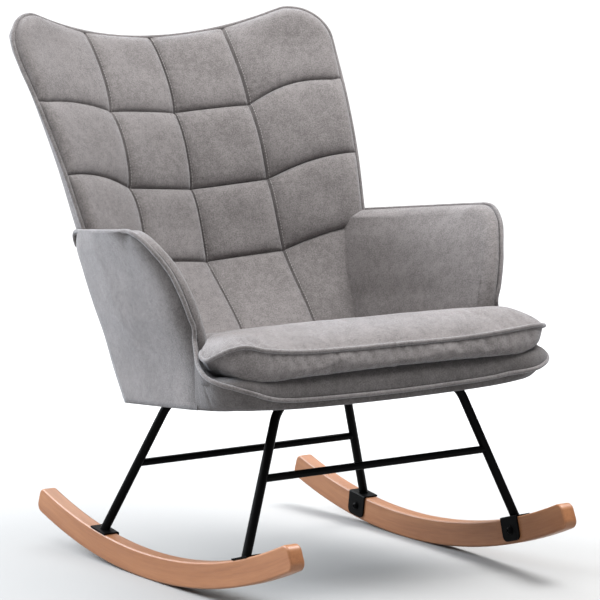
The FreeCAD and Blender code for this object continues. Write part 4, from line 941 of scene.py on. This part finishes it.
# ------------------------------------------------------------------ seat base
def base_half_path():
    """Seat frame: where the piping runs from an arm's front, round the corner, to the middle."""
    return np.array([
        (317, -214, 98), (321, -222, 84), (329, -236, 67), (339, -256, 52), (346, -276, 41), (348, -292, 33),
        (345, -307, 27), (337, -320, 21), (325, -330, 16), (309, -336, 10), (290, -340, 5), (268, -338, 0),
        (240, -335, -4), (200, -333, -8), (120, -332, -10.5), (0, -332, -12),
    ], float)


def mirrored(points):
    """A half path on the right and its mirror image on the left, as one."""
    rest = points[:-1][::-1] * np.array([-1, 1, 1])
    return np.concatenate([points, rest])


def leaning(points):
    """The front corners of the seat sit a little higher on the left than on the right."""
    p = np.array(points, float)
    share = np.clip((np.abs(p[..., 0]) - 230) / 90, 0, 1) * np.clip((70 - p[..., 2]) / 30, 0, 1)
    p[..., 2] -= 8.0 * np.sign(p[..., 0]) * share**2 * (3 - 2 * share)
    return p


def bottom_half_path():
    """Lower edge of the seat's front cover, from an arm's front round the corner to the middle."""
    return np.array([
        (318, -205, -17), (319.5, -222, -17), (321, -240, -17), (322, -258, -17), (319, -278, -17),
        (313, -294, -17), (303, -308, -17), (290, -318, -18), (270, -325, -19), (240, -329, -21),
        (200, -330, -23), (120, -330, -25), (0, -330, -26),
    ], float)


# places x, y of the front cover's two upright folds at each corner, and their depth
APRON_FOLDS = ((330, -266, 1.6), (316, -306, 1.2))
APRON_THICK = 7


def build_apron():
    """Cover of the seat's front below the piping, with the two upright folds at each corner."""
    count = 241
    top = leaning(smooth_curve(mirrored(base_half_path()), count))
    low = smooth_curve(mirrored(bottom_half_path()), count)
    out = top - np.array([0, -150, 0])
    out[:, 2] = 0
    out = unit(out)
    rows = 17
    outer, inner = [], []
    for r in range(rows):
        t = r / (rows - 1)
        line = low + (top - low) * t
        height = np.clip((top - low)[:, 2] / 50, 0.25, 1)
        full = 5.0 * math.sin(math.pi * (0.12 + 0.88 * t)) if t < 1 else 0
        tucked = 5.0 * max(0.0, 1 - t / 0.16) ** 2
        from_arm = np.clip((-206 - line[:, 1]) / 30, 0, 1)
        bulge = (full * height - tucked) * from_arm - 0.3
        for place_x, place_y, deep in APRON_FOLDS:
            near = np.hypot(np.abs(line[:, 0]) - place_x - 12 * (t - 0.5), line[:, 1] - place_y)
            bulge = bulge - deep * np.exp(-(near / 3.5) ** 2)
        outer.append(line + out * bulge[:, None])
        inner.append(line - out * APRON_THICK + out * bulge[:, None])
    outer, inner = seat_to_world(np.array(outer)), seat_to_world(np.array(inner))
    points, faces = slab(outer, inner)
    # the front cover's cloth is darkened as painted shade
    make_cover("seat_apron", points, faces, low_cloth_painted_shade, ("front_apron",))


PAD_TOP, PAD_ROUND_Y, PAD_ROUND = 38.0, -290.0, 43.0
PAD_ROLL = PAD_ROUND * 0.9


def pad_top(x, y):
    """Height of the built-in pad's top: flat, then round over towards the front piping."""
    base = hermite(
        np.abs(x), [0, 120, 200, 240, 268, 290, 312, 330, 350], [-12, -10, -8, -4, 0, 5, 11, 17, 28]
    )
    over = np.clip((PAD_ROUND_Y - y) / PAD_ROUND, 0, 1)
    return PAD_TOP - (PAD_TOP - base) * (1 - np.sqrt(1 - over**2))


def build_seat_pad():
    """Built-in seat pad: a soft roll above the piping, flat on top where the loose cushion lies."""
    line = leaning(smooth_curve(mirrored(base_half_path()), 241))
    line = line[line[:, 2] < 62]
    rear = np.array([(262, -222, 34), (250, -60, 34), (232, 90, 34)], float)
    back = np.concatenate([rear, rear[::-1] * np.array([-1, 1, 1])])
    loop = np.concatenate([line, smooth_curve(back[::-1], 100)])
    n = len(loop)
    centre = np.stack([np.clip(loop[:, 0], -190, 190), np.full(n, -120.0), np.full(n, PAD_TOP)], -1)
    inward = centre - loop
    inward[:, 2] = 0
    distance = np.linalg.norm(inward, axis=1)
    inward /= distance[:, None]
    base_z = loop[:, 2]
    top_z = np.where(np.arange(n) < len(line), np.maximum(PAD_TOP, base_z + 1.5), PAD_TOP)
    rings = []
    steps = 12
    for k in range(steps + 1):
        angle = 0.5 * math.pi * k / steps
        swell = 4.5 * math.sin(math.pi * k / steps) * np.clip((top_z - base_z) / 40, 0, 1)
        ring = loop + inward * (PAD_ROLL * (1 - math.cos(angle)) - swell)[:, None]
        ring[:, 2] = base_z + (top_z - base_z) * math.sin(angle)
        rings.append(ring)
    for t in (0.3, 0.55, 0.8, 1.0):
        ring = loop + inward * (PAD_ROLL + (distance - PAD_ROLL) * t)[:, None]
        ring[:, 2] = top_z + (PAD_TOP - top_z) * min(1, 2 * t)
        rings.append(ring)
    under, under_middle = loop + inward * 8, centre.copy()
    under[:, 2] = np.minimum(base_z, 30) - 2
    under_middle[:, 2] = 27
    rings = [under_middle, under] + rings
    points = seat_to_world(np.concatenate(rings))
    faces = grid_faces(len(rings), n, wrap=True)
    # the pad roll's cloth is darkened as painted shade
    make_cover("seat_pad_roll", points, faces, low_cloth_painted_shade, ("seat_pad",), weld=0.5)


# ------------------------------------------------------------------ loose cushion
def cushion_outline(count=420):
    """Seam line of the loose cushion in the seat frame, once round: wide ears in front of the arms."""
    half = np.array([
        (0, -331), (120, -332), (230, -334), (288, -335), (316, -331), (334, -318), (345, -300), (351, -281),
        (347, -262), (334, -246), (310, -236), (286, -230), (268, -221), (258, -200), (252, -150), (243, -60),
        (231, 30), (216, 66), (180, 88), (100, 98), (0, 101),
    ], float)
    other = half[1:-1][::-1] * np.array([-1, 1])
    line = smooth_curve(np.concatenate([half, other]), count, closed=True)
    # the left ear is pressed narrower
    line[:, 0] = np.where(line[:, 0] < -290, -290 + (line[:, 0] + 290) * 0.8, line[:, 0])
    return line


def cushion_seam_z(x, y):
    """Height of the cushion's seam: lifted near the left front corner, sinking towards the back."""
    front = np.clip((-y - 150) / 110, 0, 1)
    left_x = [-344.4, -338, -328.4, -314, -301.2, -286, -267, -229, -189, -100, 0]
    left = hermite(np.maximum(x, left_x[0]), left_x, [-8, 3, 13.5, 19.5, 21, 19, 14, 8, 4, 1, 0])
    right_x = [0, 184, 228, 272, 300, 330, 352]
    right = hermite(np.minimum(x, right_x[-1]), right_x, [0, 0, 2.5, 5.5, 7, 5, 0])
    lifted = np.where(x < 0, left, right)
    return 66 + lifted * front - 0.02 * np.maximum(y + 150, 0)


def cushion_crest(x, y):
    """Height of the cushion's plump top, falling a little to the rear and the sides."""
    return 107.5 - 0.075 * np.maximum(y + 235, 0) - 5.0 * np.clip(np.abs(x) / 300, 0, 1) ** 3


def build_cushion():
    """Loose cushion, as rings from the middle of its underside out to the seam and in again over its top.

    The ears are pinched flat; the cover puckers along the seam, and a cloth run swells it at the end.
    """
    loop = cushion_outline()
    n = len(loop)
    middle = np.stack([np.clip(loop[:, 0], -170, 170), np.full(n, -118.0)], -1)
    out = loop - middle
    reach = np.linalg.norm(out, axis=1)
    out /= reach[:, None]
    seam_z = cushion_seam_z(loop[:, 0], loop[:, 1])
    corner = np.exp(-(((np.abs(loop[:, 0]) - 350) / 26) ** 2 + ((loop[:, 1] + 288) / 40) ** 2))
    front = np.clip((-loop[:, 1] - 250) / 60, 0, 1)
    along = np.arange(n) / n * 2 * math.pi
    pucker = np.sin(along * 74 + 2.3 * np.sin(along * 9)) * (0.25 + 0.9 * corner)
    rings = []
    # underside, from the middle out to the line where the cushion meets the pad below
    ear = 0.82 * np.exp(-(((np.abs(loop[:, 0]) - 345) / 50) ** 2 + ((loop[:, 1] + 285) / 58) ** 2))
    contact_in = 26 + 34 * ear
    for share in (1.0, 0.8, 0.6, 0.4, 0.2, 0.08, 0.0):
        xy = loop - out * (contact_in + (reach - contact_in) * share)[:, None]
        rings.append(np.stack([xy[:, 0], xy[:, 1], pad_top(xy[:, 0], xy[:, 1]) + 0.8], -1))
    contact_z = rings[-1][:, 2]
    lowest = contact_z - 9 * front * (1 - ear)
    # lower panel: hangs a little over the pad's round front, then bulges out and up to the seam
    steps, hang = 18, 0.12
    for k in range(1, steps + 1):
        t = k / steps
        inset = contact_in * hermite(t, [0, hang, 0.25, 0.45, 0.7, 1.0], [1.0, 0.72, 0.42, 0.12, 0.0, 0.0])
        inset += (contact_in * (1 - t) ** 0.8 - inset) * ear
        swell = (1.5 + 4.5 * front) * (1 - ear) * math.sin(math.pi * np.clip((t - 0.2) / 0.8, 0, 1)) ** 0.9
        ripple = pucker * math.exp(-(((1 - t) * 46 - 9) / 10) ** 2) * (1 if t < 1 else 0)
        xy = loop - out * (inset - swell - ripple)[:, None]
        rise = hermite(t, [hang, 0.25, 0.45, 0.7, 1.0], [0.04, 0.0, 0.17, 0.52, 1.0])
        rise = rise + (t**1.1 - rise) * ear
        height = lowest + (seam_z - lowest) * rise
        if t < hang:
            height = contact_z + (lowest + 0.04 * (seam_z - lowest) - contact_z) * (t / hang)
        height = np.maximum(height, pad_top(xy[:, 0], xy[:, 1]) + 0.8)
        rings.append(np.stack([xy[:, 0], xy[:, 1], height], -1))
    # top panel
    steps = 26
    for k in range(1, steps + 1):
        d = reach * (1 - math.cos(0.5 * math.pi * k / steps))
        xy = loop - out * d[:, None]
        lift = cushion_crest(xy[:, 0], xy[:, 1]) - seam_z
        steep = np.clip(d / (82 + 10 * corner), 0, 1)
        plump = (1 - (1 - steep) ** 2.2) ** (0.82 + 0.25 * corner)
        ripple = 0.8 * pucker * np.exp(-(((d - 10) / 11) ** 2))
        uneven = wave_noise(xy, 170, 21) * 2.2 * np.clip(d / 60, 0, 1)
        rings.append(np.stack([xy[:, 0], xy[:, 1], seam_z + lift * plump + ripple + uneven], -1))
    points = seat_to_world(np.concatenate(rings))
    faces = grid_faces(len(rings), n, wrap=True)
    stands_for = ("cushion_cover", "cushion_core")
    piece = make_cover("seat_cushion_soft", points, faces, cloth, stands_for, "cushion", weld=0.6)
    # held along the seam and, in the first eight rings, on the underside
    seam = np.concatenate([loop, seam_z[:, None]], -1)
    inflate(piece, np.concatenate([seat_to_world(seam), points[: 8 * n]]), reach=1.2, cap=3.0)
    path = np.concatenate([loop + out * 1.5, seam_z[:, None]], -1)
    path = np.concatenate([path, path[:2]])
    tube("cushion_welt", seat_to_world(path), CUSHION_PIPING, "cushion", replaced=("cushion_piping",))


# ------------------------------------------------------------------ piping of arms and seat
def shell_path():
    """From behind the wing, forwards along an arm's top, down its front, and round the seat's front."""
    y, z = arm_top_line().T
    arm = np.stack([arm_outer_x(y, z) + 0.8, y, z + 0.5], -1)
    hook = np.array([(297, 179, 256), (300, 179, 267), (304, 173, 277), (307.5, 161, 282)], float)
    low_arm = np.array([(316.5, -214, 118)], float)
    right = np.concatenate([hook, arm[::3], low_arm, base_half_path()])
    return leaning(smooth_curve(mirrored(right), 900))


build_back_pad()
build_back_cover()
tube("back_welt", back_rim_path(), PIPING, "chair", up=(0, 1, 0), replaced=("back_piping",))
for side_sign, side_label in ((-1, "left"), (1, "right")):
    build_arm(side_sign, side_label)
build_apron()
build_seat_pad()
build_cushion()
tube("shell_welt", seat_to_world(shell_path()), PIPING, "chair", replaced=("shell_piping",))


# ------------------------------------------------------------------ floor, light, camera
def build_stage():
    """Wide pale floor, its colour darker under and round the chair as painted shade."""
    size = 40.0
    mesh = bpy.data.meshes.new("floor")
    mesh.from_pydata(
        [(-size, -size, 0), (size, -size, 0), (size, size, 0), (-size, size, 0)], [], [(0, 1, 2, 3)]
    )
    n = Nodes("floor_paint")
    parts = n.add("ShaderNodeSeparateXYZ")
    n.link(n.position, parts.inputs[0])
    squares = [n.math("POWER", parts.outputs[axis], 2.0) for axis in "XY"]
    reach = n.math("SQRT", n.math("ADD", *squares))
    # painted shade: the floor's grey rises from dark under the chair to pale far away
    greys = [(place, (grey, grey, grey)) for place, grey in ((0.16, 0.32), (0.34, 0.46), (0.9, 0.54))]
    tone = n.ramp(n.math("DIVIDE", reach, 5.0), greys)
    mesh.materials.append(n.set(Base_Color=tone, Roughness=0.8, Specular_IOR_Level=0.1))
    floor = bpy.data.objects.new("floor", mesh)
    scene.collection.objects.link(floor)


def add_light(kind, name, location, target, power, colour=(1, 1, 1), size=None, spread=None):
    """A lamp at a place, aimed at a target; size for an area lamp, spread (degrees) for a sun."""
    data = bpy.data.lights.new(name, kind)
    if size:
        data.shape = "RECTANGLE"
        data.size, data.size_y = size
    if spread:
        data.angle = math.radians(spread)
    data.energy = power
    data.color = colour
    lamp = bpy.data.objects.new(name, data)
    lamp.location = location
    lamp.rotation_euler = (Vector(target) - Vector(location)).to_track_quat("-Z", "Y").to_euler()
    scene.collection.objects.link(lamp)


def build_world(seen, lighting):
    """Plain white surroundings, dimmer as a light than they look."""
    world = bpy.data.worlds.new("studio")
    scene.world = world
    world.use_nodes = True
    tree = world.node_tree
    background = tree.nodes["Background"]
    background.inputs["Color"].default_value = (1, 1, 1, 1)
    ray = tree.nodes.new("ShaderNodeLightPath")
    strength = tree.nodes.new("ShaderNodeMapRange")
    strength.inputs["To Min"].default_value = lighting
    strength.inputs["To Max"].default_value = seen
    tree.links.new(ray.outputs["Is Camera Ray"], strength.inputs["Value"])
    tree.links.new(strength.outputs["Result"], background.inputs["Strength"])


build_stage()
add_light("SUN", "roof_light", (-0.45, 1.05, 3.0), (0, 0, 0), 6.6, spread=100)
add_light("AREA", "front_light", (1.3, -0.5, 2.75), (0, 0.2, 0.7), 102, size=(1.5, 1.2))
add_light("AREA", "left_light", (-2.3, 2.7, 2.4), (-0.2, 0, 0.6), 220, (0.84, 0.92, 1.0), size=(1.6, 1.6))
build_world(1.02, 0.24)
scene.view_settings.view_transform = "Standard"

CAMERA_AZIMUTH, CAMERA_ELEVATION = math.radians(34.87), math.radians(7.8)
CAMERA_TARGET = Vector((0, -0.050, 0.464))
CAMERA_DISTANCE = 5.211
camera_data = bpy.data.cameras.new("camera")
camera_data.lens = 179.8
camera_data.sensor_width = 36
camera = bpy.data.objects.new("camera", camera_data)
back_from_target = Vector((
    -math.sin(CAMERA_AZIMUTH) * math.cos(CAMERA_ELEVATION),
    -math.cos(CAMERA_AZIMUTH) * math.cos(CAMERA_ELEVATION),
    math.sin(CAMERA_ELEVATION),
))
camera.location = CAMERA_TARGET + back_from_target * CAMERA_DISTANCE
camera.rotation_euler = (-back_from_target).to_track_quat("-Z", "Y").to_euler()
camera_data.clip_end = 100
scene.collection.objects.link(camera)
scene.camera = camera
